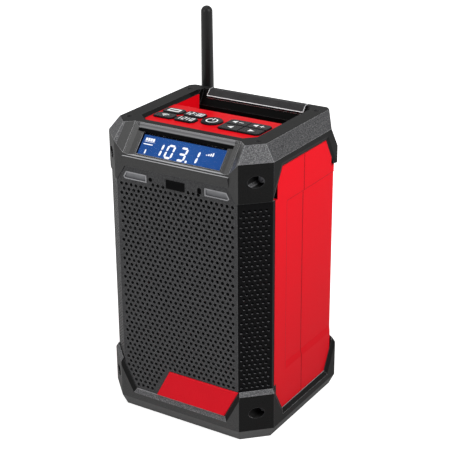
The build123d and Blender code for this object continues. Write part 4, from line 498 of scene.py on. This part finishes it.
def grip_grey(low, high):
    """Soft grey rubber of the grip, with a close stipple, a thin pale line of painted highlight
    along its front edge and its ends, and painted shade on its upright front faces; low and high
    are the grip's corners."""
    finish = Finish("grip_grey", Specular_IOR_Level=0.06)
    fine = finish.noise(0.8 * MM, 4.0, 0.7)
    broad = finish.noise(20 * MM, 2.0)
    stipple = finish.tones(finish.mix(0.3, fine, broad), tint(42, 42, 43), tint(62, 62, 63))
    # painted highlight: a thin pale line along the front edge and the ends
    depth = finish.calc("SUBTRACT", finish.at("Y"), low.y)
    inset = finish.calc("SUBTRACT", high.x, finish.absolute(finish.at("X")))
    share = finish.calc("DIVIDE", finish.calc("MINIMUM", depth, inset), GRIP_MARGIN)
    # painted shade: the upright front faces are near black
    upright = finish.below(finish.faces("Y"), -LEVEL)
    border_highlight = finish.within(finish.ramp(share, (0.2, 1.0), (0.3, 0.0)), finish.outside(upright))
    stipple = finish.mix(upright, stipple, tint(14, 14, 15))
    finish.set("Base Color", finish.mix(border_highlight, stipple, tint(236, 236, 238)))
    finish.set("Roughness", finish.mix(border_highlight, 0.6, 0.3))
    finish.bump(fine, 0.04 * MM, finish.rounded(0.7 * MM))
    return finish.material


def grille_grey():
    """Painted perforated steel: dark grey front whose hole edges get a painted highlight, slanted
    wings painted near-black as shade whose up-facing hole walls get a painted speck of light, fine
    orange peel."""
    finish = Finish("grille_grey", Specular_IOR_Level=0.03)
    on_wing = finish.above(finish.absolute(finish.at("X")), GRILLE_BEND + 0.05 * MM)
    upward_glint = finish.above(finish.faces("Z"), 0.85)
    fine = finish.noise(1.2 * MM, 3.0, 0.7)
    front = finish.tones(fine, tint(52, 52, 53), tint(78, 78, 79))
    # painted highlight on the hole edges of the front
    front = finish.mix(finish.edges(0.4 * MM, 0.01, 0.06), front, tint(112, 112, 114))
    # painted shade: the slanted wings are near black
    wing_shade = finish.tones(fine, tint(6, 6, 7), tint(13, 13, 14))
    # painted highlight: up-facing hole walls of the wings catch a pale speck
    wing_shade = finish.mix(upward_glint, wing_shade, tint(128, 128, 130))
    finish.set("Base Color", finish.mix(on_wing, front, wing_shade))
    finish.set("Roughness", finish.ramp(fine, (0.3, 0.38), (0.7, 0.5)))
    finish.bump(fine, 0.02 * MM)
    return finish.material


def cloth_black():
    """Woven black speaker cloth."""
    finish = Finish("cloth_black", Roughness=0.95, Sheen_Weight=0.2, Specular_IOR_Level=0.1)
    threads = []
    for axis in "XZ":
        turns = finish.calc("MULTIPLY", finish.at(axis), 2 * math.pi / THREAD_PITCH)
        threads.append(finish.absolute(finish.calc("SINE", turns)))
    weave = finish.calc("MAXIMUM", *threads)
    finish.set("Base Color", finish.ramp(weave, (0.5, tint(4, 4, 5)), (1.0, tint(16, 16, 17))))
    finish.bump(weave, 0.1 * MM)
    return finish.material


def display_clear():
    """Clear display window with faint smears."""
    finish = Finish("display_clear", Roughness=0.04, IOR=1.06, Transmission_Weight=1.0)
    smears = finish.noise(20 * MM, 3.0, 0.6, (1.0, 1.0, 3.0))
    finish.set("Roughness", finish.ramp(smears, (0.4, 0.02), (0.7, 0.06)))
    finish.set("Base Color", finish.ramp(smears, (0.3, 0.97), (0.7, 1.0)))
    return finish.material


def lcd_blue(seat):
    """Lit blue display with a fine dot grid, in a black surround; along its top the black is
    wider, a painted shadow of the lip above.
    """
    finish = Finish("lcd_blue", Roughness=0.3, Specular_IOR_Level=0.02)
    across = finish.along(seat.right, seat.middle)
    rise = finish.along(seat.up, seat.middle)
    sideways = finish.absolute(across)
    # the unlit top margin is wider: a painted shadow of the lip above
    inside = finish.within(finish.below(sideways, seat.half.x - LCD_BORDER),
                           finish.below(rise, seat.half.y - LCD_SHADOW_STRIP),
                           finish.above(rise, LCD_BORDER - seat.half.y))
    waves = [finish.calc("SINE", finish.calc("MULTIPLY", line, math.pi / LCD_DOT))
             for line in (across, rise)]
    dots = finish.calc("MINIMUM", *[finish.absolute(wave) for wave in waves])
    glow = finish.ramp(finish.calc("DIVIDE", sideways, seat.half.x),
                       (0.2, tint(42, 90, 164)), (1.0, tint(36, 80, 152)))
    lit = finish.times(glow, finish.ramp(dots, (0.0, 0.88), (0.35, 1.0)))
    lit = finish.mix(inside, tint(3, 3, 4), lit)
    finish.set("Base Color", finish.times(lit, tint(90, 90, 90)))
    finish.set("Emission Color", lit)
    finish.set("Emission Strength", 0.8)
    return finish.material


def lcd_white():
    """Glowing white of the display's figures."""
    finish = Finish("lcd_white", Roughness=0.4)
    lit = finish.ramp(finish.noise(0.9 * MM), (0.3, tint(236, 242, 252)),
                      (0.7, tint(252, 254, 255)))
    finish.set("Base Color", tint(90, 90, 96))
    finish.set("Emission Color", lit)
    finish.set("Emission Strength", 1.0)
    return finish.material


def smoked(low, high):
    """Cloudy grey status window, paler towards its top; low and high are its corners."""
    finish = Finish("smoked", Roughness=0.2, Specular_IOR_Level=0.2)
    cloud = finish.noise(4 * MM, 3.0)
    height = finish.calc("SUBTRACT", finish.at("Z"), low.z)
    base = finish.ramp(finish.calc("DIVIDE", height, high.z - low.z),
                       (0.1, tint(70, 70, 74)), (0.9, tint(132, 133, 136)))
    finish.set("Base Color", finish.times(base, finish.ramp(cloud, (0.3, 0.8), (0.7, 1.0))))
    finish.bump(cloud, 0.02 * MM, finish.rounded(0.5 * MM))
    return finish.material


def board_green():
    """Circuit board: green mask over faint tracks."""
    finish = Finish("board_green", Roughness=0.35, Coat_Weight=0.4, Coat_Roughness=0.2)
    tracks = finish.cell_walls(4 * MM)
    finish.set("Base Color", finish.ramp(tracks, (0.02, tint(26, 110, 60)),
                                         (0.06, tint(10, 70, 38))))
    finish.bump(finish.ramp(tracks, (0.02, 1.0), (0.06, 0.0)), 0.04 * MM)
    return finish.material


def cone_paper():
    """Pressed paper cone with rough fibres."""
    finish = Finish("cone_paper", Roughness=0.85)
    fibres = finish.noise(1.5 * MM, 5.0, 0.8)
    finish.set("Base Color", finish.tones(fibres, tint(44, 44, 46), tint(66, 66, 68)))
    finish.bump(fibres, 0.1 * MM)
    return finish.material


def deck_red():
    """Brighter, glossier red of the key deck."""
    return moulded("deck_red", tint(226, 10, 24), 0.35, mottle=0.04, specular=0.015, edge_highlight=1.1,
                   **SATIN)


def badge_red():
    """Red of the bare badge plate."""
    return moulded("badge_red", tint(216, 18, 34), 0.3, mottle=0.05, specular=0.05, edge_highlight=1.15,
                   **SATIN)


def seal_red():
    """Dark red seal in the parting line."""
    return moulded("seal_red", tint(112, 8, 15), 0.7, grain=0.6, relief=0.02, specular=0.02)


def key_black():
    """Satin black keys whose edges get a strong painted highlight."""
    return moulded("key_black", tint(18, 18, 20), 0.28, mottle=0.1, specular=0.04, edge_highlight=4.0,
                   **SATIN)


def plate_black():
    """Black of the bare plate between the status windows."""
    return moulded("plate_black", tint(6, 6, 7), 0.4, grain=0.8, relief=0.01, specular=0.02,
                   edge_highlight=3.0)


def panel_black():
    """Grained black plastic of the rear panel."""
    return moulded("panel_black", tint(34, 34, 36), 0.55, relief=0.05, mottle=0.15, edge=0.6)


def bay_black():
    """Matt black plastic of the battery bay and the sockets."""
    return moulded("bay_black", tint(22, 22, 24), 0.6, relief=0.04, mottle=0.15)


def switch_black():
    """Black plastic of the small switches."""
    return moulded("switch_black", tint(30, 30, 30), 0.4)


def door_rubber():
    """Dull rubber of the socket door."""
    return moulded("door_rubber", tint(28, 28, 30), 0.75, grain=0.6, edge=0.6, specular=0.3)


def whip_rubber():
    """Smooth black rubber of the aerial."""
    return moulded("whip_rubber", tint(14, 14, 15), 0.35, grain=0.8, relief=0.02, mottle=0.1,
                   edge=0.3, specular=0.2)


def rim_highlight_grey():
    """Pale grey of the painted highlight rims round the status windows."""
    return moulded("rim_highlight_grey", tint(150, 150, 153), 0.3, edge_highlight=1.2)


def print_white():
    """White print of the key signs."""
    return moulded("print_white", tint(248, 249, 250), 0.5, mottle=0.04, **PRINT)


def print_dark():
    """Dark print of the signs beside the status windows."""
    return moulded("print_dark", tint(4, 4, 5), 0.6, mottle=0.1, specular=0.01, **PRINT)


# ---- mesh helpers
PRINT_LOW = 0.01 * MM       # foot and top of a thin print above its seat
PRINT_HIGH = 0.05 * MM


def add_piece(name, mesh_data, material, body):
    """Links a mesh as a piece that rides on a body."""
    mesh = bpy.data.meshes.new(name)
    mesh_data.to_mesh(mesh)
    mesh_data.free()
    piece = bpy.data.objects.new(name, mesh)
    scene.collection.objects.link(piece)
    mesh.materials.append(material)
    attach(piece, body)
    return piece


def prism(mesh, loops, place, low, high, creases=()):
    """Adds a closed solid to mesh: outlines in u and v, where a loop inside a loop is a hole,
    from low to high in w. Creases are lines in u and v that stay edges of the faces."""
    points, edges, faces = [], [], []
    for loop in loops:
        turn = sum(loop[i - 1][0] * loop[i][1] - loop[i][0] * loop[i - 1][1]
                   for i in range(len(loop)))
        loop = loop if turn > 0 else loop[::-1]
        first, count = len(points), len(loop)
        points += [Vector(point) for point in loop]
        edges += [(first + i, first + (i + 1) % count) for i in range(count)]
        faces.append(list(range(first, first + count)))
    for start, end in creases:
        points += [Vector(start), Vector(end)]
        edges.append((len(points) - 2, len(points) - 1))
    flat, _, triangles, _, _, owners = delaunay_2d_cdt(points, edges, faces, 1, 1e-9)
    kept = [t for t, own in zip(triangles, owners) if len(own) % 2]
    bottom = [mesh.verts.new(place(u, v, low)) for u, v in flat]
    top = [mesh.verts.new(place(u, v, high)) for u, v in flat]
    sides = {(t[i - 1], t[i]) for t in kept for i in range(len(t))}
    made = []
    for triangle in kept:
        made.append(mesh.faces.new([top[i] for i in triangle]))
        made.append(mesh.faces.new([bottom[i] for i in reversed(triangle)]))
    for a, b in sides:
        if (b, a) not in sides:
            made.append(mesh.faces.new((bottom[a], bottom[b], top[b], top[a])))
    loose = [v for v in bottom + top if not v.link_faces]
    bmesh.ops.delete(mesh, geom=loose, context="VERTS")
    bmesh.ops.recalc_face_normals(mesh, faces=made)


def arc(middle, radius, start, end, steps=10):
    """Points along an arc, in degrees."""
    angles = [math.radians(start + (end - start) * i / steps) for i in range(steps + 1)]
    return [(middle[0] + radius * math.cos(a), middle[1] + radius * math.sin(a)) for a in angles]


def polygon(middle, radius, sides):
    """Corners of a regular polygon."""
    return arc(middle, radius, 0, 360, sides)[:-1]


def bar(left, low, right, high):
    """Shape of a rectangle."""
    return [[(left, low), (right, low), (right, high), (left, high)]]


def stroke(points, width, closed=False):
    """Outline of an open line of even width, or the two outlines of a closed one."""
    count = len(points)
    left, right = [], []
    for i, (x, y) in enumerate(points):
        before = points[i - 1] if i or closed else points[i]
        after = points[(i + 1) % count] if i < count - 1 or closed else points[i]
        run_in = Vector((x - before[0], y - before[1]))
        run_out = Vector((after[0] - x, after[1] - y))
        run_in = run_in.normalized() if run_in.length else run_out.normalized()
        run_out = run_out.normalized() if run_out.length else run_in
        lean = (run_in + run_out).normalized()
        reach = width / 2 / max(0.3, lean.dot(run_out))
        left.append((x - lean.y * reach, y + lean.x * reach))
        right.append((x + lean.y * reach, y - lean.x * reach))
    return [left, right] if closed else [left + right[::-1]]


class Seat:
    """A flat face of a CAD node: its middle, right and up directions, normal and half sizes."""

    def __init__(self, node, toward):
        mesh = NODES[node].data
        toward = Vector(toward).normalized()
        facing = [p for p in mesh.polygons if p.normal.dot(toward) > 0.98]
        farthest = max(p.center.dot(toward) for p in facing)
        chosen = [p for p in facing if p.center.dot(toward) > farthest - 0.1 * MM]
        self.normal = max(chosen, key=lambda p: p.area).normal.normalized()
        self.right = Vector((1.0, 0.0, 0.0))
        self.up = self.normal.cross(self.right).normalized()
        corners = [mesh.vertices[i].co for p in chosen for i in p.vertices]
        across = [c.dot(self.right) for c in corners]
        along = [c.dot(self.up) for c in corners]
        self.half = Vector(((max(across) - min(across)) / 2, (max(along) - min(along)) / 2))
        self.middle = (self.right * (max(across) + min(across)) / 2
                       + self.up * (max(along) + min(along)) / 2
                       + self.normal * corners[0].dot(self.normal))

    def place(self, u, v, w):
        """Point of the face, u and v in metres from its middle, w above it."""
        return self.middle + self.right * u + self.up * v + self.normal * w


def printed(name, shapes, seat, material, body):
    """Thin raised print: each shape is a list of loops in millimetres on the seat."""
    mesh = bmesh.new()
    for loops in shapes:
        prism(mesh, [[(u * MM, v * MM) for u, v in loop] for loop in loops], seat.place,
              PRINT_LOW, PRINT_HIGH)
    add_piece(name, mesh, material, body)


# ---- the perforated grille
SHEET_T = 2.2 * MM
SHEET_GAP = 0.1 * MM        # between the wings' ends and the frame's guards
LEG_INSET = 0.7 * MM        # the flat front is narrower by this above and below the wings
TOP_HALF = 49.2 * MM        # half width of the sheet's top edge
SEAT_DEPTH = 0.2 * MM       # what lies deeper than this in the sheet gets an opening
PERF_PITCH = 4.9 * MM
PERF_ROW = 4.25 * MM
PERF_R = 1.7 * MM
PERF_EDGE = 2.6 * MM        # from a hole's middle to the next piece
FIRST_ROW = 4.0 * MM        # from the frame's front rail up to the lowest holes
TOP_ROW_DROP = 43.6 * MM    # from the frame's top down to where the holes end
RAIL_H = 20.0 * MM          # height of the frame's front rail
GUARD_HALVES = (45.5 * MM, 59.7 * MM)   # room between the lower guards, at the rail and above
WING_PITCH = 4.6 * MM
WING_R = 1.15 * MM
WING_FIRST_ROW = 3.6 * MM
SAME = 1e-7                 # two places nearer than this are one


def make_grille(material):
    """Bent sheet with its small staggered holes, in place of the CAD grille."""
    low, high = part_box("front_grille")
    bend, legs = GRILLE_BEND, GRILLE_BEND - LEG_INSET
    reach = (high.x - bend) * math.sqrt(2.0)
    end = bend + reach
    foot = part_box("lower_frame")[1].z + SHEET_GAP
    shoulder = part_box("upper_frame")[0].z - SHEET_GAP

    def place(s, z, w):
        """Point of the bent sheet: s across it from its middle, z its height, w its depth."""
        side = math.copysign(1.0, s)
        out = abs(s) - bend
        if out < -SAME:
            return Vector((s, low.y + w, z))
        if out < SAME:
            return Vector((side * (bend - w * math.tan(math.pi / 8)), low.y + w, z))
        slip = w / math.sqrt(2.0)
        if out > reach - SAME:
            return Vector((side * high.x, low.y + (high.x - bend) + 2 * slip, z))
        step = out / math.sqrt(2.0)
        return Vector((side * (bend + step - slip), low.y + step + slip, z))

    half = [(legs, low.z), (legs, foot), (bend, foot), (end, foot), (end, shoulder),
            (bend, shoulder), (legs, shoulder), (TOP_HALF, high.z)]
    outline = half + [(-s, z) for s, z in half[::-1]]
    creases = [((side * bend, foot), (side * bend, shoulder)) for side in (-1, 1)]
    holes = [polygon(middle, PERF_R, 10) for middle in front_holes(foot)]
    holes += [polygon(middle, WING_R, 8) for middle in wing_holes(reach, foot, shoulder)]
    seats = [outline_of(node, low.y + SEAT_DEPTH) for node in STATUS_WINDOWS + ("centre_plate",)]
    mesh = bmesh.new()
    prism(mesh, [outline, *holes, *seats], place, 0.0, SHEET_T, creases)
    grille = add_piece("perforated_grille", mesh, material, "chassis")
    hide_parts("front_grille")


def outline_of(node, behind=-1.0):
    """Convex outline, seen from the front, of what a node has behind a plane of given y."""
    points = [Vector((v.co.x, v.co.z)) for v in NODES[node].data.vertices if v.co.y > behind]
    hull = [points[i] for i in convex_hull_2d(points)]
    return [point for i, point in enumerate(hull) if (point - hull[i - 1]).length > 0.01 * MM]


def clear_of(point, outline, margin):
    """True where a point lies outside an outline by the margin at least."""
    point = Vector(point)
    inside = True
    for i, corner in enumerate(outline):
        before = outline[i - 1]
        run = corner - before
        share = max(0.0, min(1.0, (point - before).dot(run) / run.length_squared))
        if (point - before - run * share).length < margin:
            return False
        if run.x * (point.y - before.y) - run.y * (point.x - before.x) < 0:
            inside = False
    return not inside


def front_holes(foot):
    """Middles of the round holes of the flat front, clear of what stands before it; the lower
    guards end at foot."""
    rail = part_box("lower_frame")[0].z + RAIL_H
    first = rail + FIRST_ROW
    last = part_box("upper_frame")[1].z - TOP_ROW_DROP
    things = [outline_of(node) for node in ("badge", "centre_plate") + STATUS_WINDOWS]
    columns = int(2 * GRILLE_BEND / PERF_PITCH) + 1
    holes = []
    for row in range(int((last - first) / PERF_ROW) + 1):
        z = first + row * PERF_ROW
        half = GRILLE_BEND
        if z < foot:
            climb = (z - rail) / (foot - rail)
            half = GUARD_HALVES[0] + climb * (GUARD_HALVES[1] - GUARD_HALVES[0])
        for column in range(columns + 1):
            x = (column - columns / 2 + (row % 2) / 2) * PERF_PITCH
            if (abs(x) <= half - PERF_EDGE
                    and all(clear_of((x, z), thing, PERF_EDGE) for thing in things)):
                holes.append((x, z))
    return holes


def wing_holes(reach, foot, shoulder):
    """Middles of the smaller holes of the two slanted wings."""
    columns = int((reach - 2 * PERF_EDGE) / WING_PITCH) + 1
    first = GRILLE_BEND + (reach - (columns - 1) * WING_PITCH) / 2
    holes = []
    for row in range(int((shoulder - foot - 2 * PERF_EDGE) / PERF_ROW)):
        z = foot + WING_FIRST_ROW + row * PERF_ROW
        for column in range(columns - row % 2):
            s = first + (column + (row % 2) / 2) * WING_PITCH
            holes += [(s, z), (-s, z)]
    return holes


# ---- trim of the grille's band
RIM_HIGHLIGHT_W = 0.9 * MM
RIM_HIGHLIGHT_HIGH = 0.35 * MM
TRIM_HIGH = 0.12 * MM
BATTERY = [(-1.7, -2.5), (1.7, -2.5), (1.7, 1.8), (0.9, 1.8), (0.9, 2.5), (-0.9, 2.5),
           (-0.9, 1.8), (-1.7, 1.8)]
BAND_SIGNS = (("sign_battery", BATTERY, 23.0, 219.1),   # outline and middle in millimetres
              ("sign_lamp", polygon((0.0, 0.0), 1.8, 8), -24.4, 219.4))


def make_front_trim(rim_highlight, sign):
    """Thin pale raised ring round each status window as a painted highlight on its rim, and a
    small sign beside it.
    """
    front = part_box("front_grille")[0].y

    def place(x, z, w):
        return Vector((x, front - w, z))

    for node in STATUS_WINDOWS:
        mesh = bmesh.new()
        # pale ring as a painted highlight along the window's rim
        prism(mesh, stroke(outline_of(node), RIM_HIGHLIGHT_W, True), place, PRINT_LOW, RIM_HIGHLIGHT_HIGH)
        add_piece(node.replace("window", "rim_highlight"), mesh, rim_highlight, "chassis")
    for name, outline, x, z in BAND_SIGNS:
        mesh = bmesh.new()
        prism(mesh, [[((x + u) * MM, (z + v) * MM) for u, v in outline]], place,
              PRINT_LOW, TRIM_HIGH)
        add_piece(name, mesh, sign, "chassis")


# ---- seals of the parting line
SEAL_INSET = 2.6 * MM       # from the housing's side to the seal
SEAL_DEPTH = 2.0 * MM
SEAL_SIDE_GAP = 0.01 * MM
SEAL_END_GAP = 1.0 * MM


def make_seam_seals(material):
    """Thin seal in the parting line of each side, so that no light passes through the box."""
    low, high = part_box("front_housing")
    start = high.y + SEAL_SIDE_GAP
    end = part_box("rear_housing")[0].y - SEAL_SIDE_GAP
    outer = high.x - SEAL_INSET
    foot, top = low.z + SEAL_END_GAP, high.z - SEAL_END_GAP

    def place(x, z, y):
        return Vector((x, y, z))

    for side, name in ((-1, "seam_seal_left"), (1, "seam_seal_right")):
        mesh = bmesh.new()
        near, far = side * (outer - SEAL_DEPTH), side * outer
        prism(mesh, bar(near, foot, far, top), place, start, end)
        add_piece(name, mesh, material, "chassis")


# ---- aerial
# the collar at the foot: millimetres in from the foot's radius, and up from the foot
WHIP_COLLAR = ((0.6, 0.0), (0.15, 0.15), (0.0, 0.6), (0.0, 8.0), (0.25, 8.4), (0.3, 9.2))
WHIP_TIP_R = 5.15 * MM
WHIP_STEPS = 6
WHIP_SIDES = 48


def make_aerial(material):
    """Smooth tapered rubber whip with a round tip and a small collar at its foot."""
    low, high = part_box("antenna")
    centre = ((low.x + high.x) / 2, (low.y + high.y) / 2)
    foot_r = (high.x - low.x) / 2
    tip_z = high.z - WHIP_TIP_R
    profile = [(foot_r - inset * MM, low.z + rise * MM) for inset, rise in WHIP_COLLAR]
    neck_r, neck_z = profile[-1]
    for i in range(1, WHIP_STEPS):
        share = i / WHIP_STEPS
        profile.append((neck_r + (WHIP_TIP_R - neck_r) * share,
                        neck_z + (tip_z - neck_z) * share))
    profile += arc((0.0, tip_z), WHIP_TIP_R, 0, 80, 8)
    mesh = bmesh.new()
    rings = [[mesh.verts.new((x, y, height)) for x, y in polygon(centre, radius, WHIP_SIDES)]
             for radius, height in profile]
    for lower, upper in zip(rings, rings[1:]):
        for i in range(WHIP_SIDES):
            mesh.faces.new((lower[i - 1], lower[i], upper[i], upper[i - 1])).smooth = True
    mesh.faces.new(rings[0][::-1])
    mesh.faces.new(rings[-1])
    whip = add_piece("aerial_whip", mesh, material, "chassis")
    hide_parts("antenna")


# ---- display figures, millimetres
DIGITS = (("1", -26.3), ("0", -15.3), ("3", -3.1), ("1", 8.5))     # each with its left edge
DIGIT_W, DIGIT_H, DIGIT_THICK = 7.8, 12.6, 1.8
DIGIT_GAP = 0.12 * DIGIT_THICK      # from a segment's end to the corner
DIGIT_LEAN = 0.1
DIGIT_FOOT = 1.0            # from the display's lower edge up to the digits
POINT_LEFT = 6.0
SEGMENTS = {"0": "abcdef", "1": "bc", "3": "abcdg"}
BATTERY_BARS = (3.2, 2.4)   # from the display's left edge, and down from the black strip
SIGNAL_BARS = (22.6, 9.6)   # from the display's middle, and up from the digits' foot
SMALL_FIGURE = (3.0, 0.2)   # from the battery bars' left end, and up from the digits' foot
# corners in shares of the numeral's width and height
NUMERALS = {"0": [(0, 0), (1, 0), (1, 1), (0, 1)], "1": [(0.5, 0), (0.5, 1)],
            "2": [(0, 1), (1, 1), (1, 0.5), (0, 0.5), (0, 0), (1, 0)]}


def digit(sign, left, foot):
    """Seven-segment shapes of one digit, slightly slanted."""
    half, reach = DIGIT_H / 2, DIGIT_THICK / 2

    def across(v):
        low, high = reach + DIGIT_GAP, DIGIT_W - reach - DIGIT_GAP
        return [(low, v), (low + reach, v + reach), (high - reach, v + reach), (high, v),
                (high - reach, v - reach), (low + reach, v - reach)]

    def upright(u, low, high):
        low, high = low + DIGIT_GAP, high - DIGIT_GAP
        return [(u, low), (u + reach, low + reach), (u + reach, high - reach), (u, high),
                (u - reach, high - reach), (u - reach, low + reach)]

    inner, outer, top = reach, DIGIT_W - reach, DIGIT_H - reach
    shapes = {"a": across(top), "g": across(half), "d": across(reach),
              "b": upright(outer, half, top), "c": upright(outer, reach, half),
              "e": upright(inner, reach, half), "f": upright(inner, half, top)}
    return [[[(left + u + v * DIGIT_LEAN, foot + v) for u, v in shapes[key]]]
            for key in SEGMENTS[sign]]


def numeral(sign, left, foot, width, height, thick):
    """A 0, 1 or 2 drawn as one even line."""
    points = [(left + thick / 2 + u * (width - thick), foot + thick / 2 + v * (height - thick))
              for u, v in NUMERALS[sign]]
    return stroke(points, thick, sign == "0")


def battery_bars(left, top):
    """Four cells in a row, with a thin and a thicker line below them."""
    cells = [bar(left + 2.3 * i, top - 2.6, left + 2.3 * i + 1.9, top) for i in range(4)]
    return cells + [bar(left - 0.3, top - 3.5, left + 9.4, top - 3.15),
                    bar(left - 0.6, top - 6.0, left + 8.4, top - 5.2)]


def signal_bars(left, foot):
    """Four bars, each taller than the last."""
    return [bar(left + 1.9 * i, foot, left + 1.9 * i + 1.2, foot + 0.8 + 0.75 * i)
            for i in range(4)]


def lcd_seat():
    """Face of the display panel."""
    return Seat("lcd_panel", (0.0, -0.7, 0.7))


def make_display():
    """Figures of a generic frequency, with battery bars, a small figure and signal bars."""
    seat = lcd_seat()
    half_w, half_h = seat.half.x / MM, seat.half.y / MM
    foot = DIGIT_FOOT - half_h
    left = BATTERY_BARS[0] - half_w
    shapes = [shape for sign, edge in DIGITS for shape in digit(sign, edge, foot)]
    shapes.append(bar(POINT_LEFT, foot, POINT_LEFT + DIGIT_THICK, foot + DIGIT_THICK))
    shapes += battery_bars(left, half_h - LCD_SHADOW_STRIP / MM - BATTERY_BARS[1])
    shapes.append(numeral("1", left + SMALL_FIGURE[0], foot + SMALL_FIGURE[1], 1.6, 4.8, 1.2))
    shapes += signal_bars(SIGNAL_BARS[0], foot + SIGNAL_BARS[1])
    printed("lcd_figures", shapes, seat, lcd_white(), "chassis")


# ---- signs on the keys, millimetres
def wireless_sign():
    """Two arcs above a dot."""
    arcs = [stroke(arc((0.0, -2.4), radius, 40, 140), 1.1) for radius in (2.3, 4.4)]
    return [[polygon((0.0, -2.2), 0.75, 10)]] + arcs


def display_sign():
    """Small bare screen."""
    return [bar(-5.8, -3.3, 5.8, 3.3) + bar(-4.6, -1.3, 4.6, 1.3)]


def figures(signs, width, height, thick, space):
    """A short centred row of numerals; a colon takes two dots."""
    left = -(len(signs) * width + (len(signs) - 1) * space) / 2
    shapes = []
    for sign in signs:
        if sign == ":":
            low, high = left + (width - thick) / 2, left + (width + thick) / 2
            shapes += [bar(low, v - thick / 2, high, v + thick / 2)
                       for v in (-height / 5, height / 5)]
        else:
            shapes.append(numeral(sign, left, -height / 2, width, height, thick))
        left += width + space
    return shapes


def power_sign():
    """Open ring with a bar at its top."""
    return [stroke(arc((0.0, -0.2), 4.7, 115, 425, 24), 1.25), bar(-0.65, 0.4, 0.65, 5.6)]


def speaker_sign(louder):
    """Small loudspeaker with a minus or a plus."""
    horn = [(-5.4, -1.1), (-4.0, -1.1), (-1.6, -2.8), (-1.6, 2.8), (-4.0, 1.1), (-5.4, 1.1)]
    minus = [(0.4, -0.4), (4.8, -0.4), (4.8, 0.4), (0.4, 0.4)]
    plus = [(0.4, -0.4), (2.2, -0.4), (2.2, -2.2), (3.0, -2.2), (3.0, -0.4), (4.8, -0.4),
            (4.8, 0.4), (3.0, 0.4), (3.0, 2.2), (2.2, 2.2), (2.2, 0.4), (0.4, 0.4)]
    return [[horn], [plus if louder else minus]]


def arrow_sign(side):
    """Filled triangle that points left or right."""
    return [[[(-2.2 * side, -2.5 * side), (2.9 * side, 0.0), (-2.2 * side, 2.5 * side)]]]


KEY_SIGNS = {
    "key_wireless": wireless_sign,
    "key_display": display_sign,
    "key_clock": lambda: figures("12:00", 3.0, 6.8, 0.95, 0.4),
    "key_preset": lambda: figures("1210", 3.2, 6.8, 0.95, 0.7),
    "key_power": power_sign,
    "key_volume_down": lambda: speaker_sign(False),
    "key_volume_up": lambda: speaker_sign(True),
    "key_tune_down": lambda: arrow_sign(-1),
    "key_tune_up": lambda: arrow_sign(1),
}


def make_key_signs(material):
    """White sign on each key's top."""
    for key, shapes in KEY_SIGNS.items():
        printed(key + "_sign", shapes(), Seat(key, (0.0, 0.0, 1.0)), material, key)


# ---- finishes of the CAD nodes
def dress_nodes():
    """Gives each CAD node that stays in view its finish."""
    finishes = (
        (frame_black(), ("upper_frame", "lower_frame")),
        (shell_red(), ("front_housing", "rear_housing")),
        (deck_red(), ("control_deck",)),
        (badge_red(), ("badge",)),
        (key_black(), tuple(KEY_SIGNS)),
        (grip_grey(*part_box("handle_grip")), ("handle_grip",)),
        (cloth_black(), ("grille_cloth",)),
        (display_clear(), ("display_window",)),
        (lcd_blue(lcd_seat()), ("lcd_panel",)),
        (smoked(*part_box("status_window_left")), STATUS_WINDOWS),
        (plate_black(), ("centre_plate",)),
        (panel_black(), ("rear_panel",)),
        (bay_black(), ("battery_bay", "socket_panel", "terminal_block")),
        (door_rubber(), ("port_door",)),
        (switch_black(), ("tact_switches",)),
        (board_green(), ("keypad_board", "display_board", "main_board")),
        (cone_paper(), ("speaker_cone",)),
        (metal("terminal_brass", tint(214, 176, 92)), ("terminal_blades",)),
        (metal("screw_steel", tint(150, 150, 154), 0.35),
         ("corner_screws", "rear_screws", "port_door_pin")),
        (metal("basket_black", tint(52, 52, 54), 0.5), ("speaker_basket",)),
        (metal("magnet_iron", tint(70, 70, 74), 0.55), ("speaker_magnet",)),
        (metal("collar_steel", tint(120, 120, 124), brushed=(1.0, 1.0, 0.1)),
         ("antenna_collar",)),
    )
    for material, nodes in finishes:
        for node in nodes:
            NODES[node].data.materials.clear()
            NODES[node].data.materials.append(material)


make_camera()
make_world()
make_floor()
make_lights()
dress_nodes()
make_grille(grille_grey())
make_front_trim(rim_highlight_grey(), print_dark())
make_seam_seals(seal_red())
make_aerial(whip_rubber())
make_display()
make_key_signs(print_white())
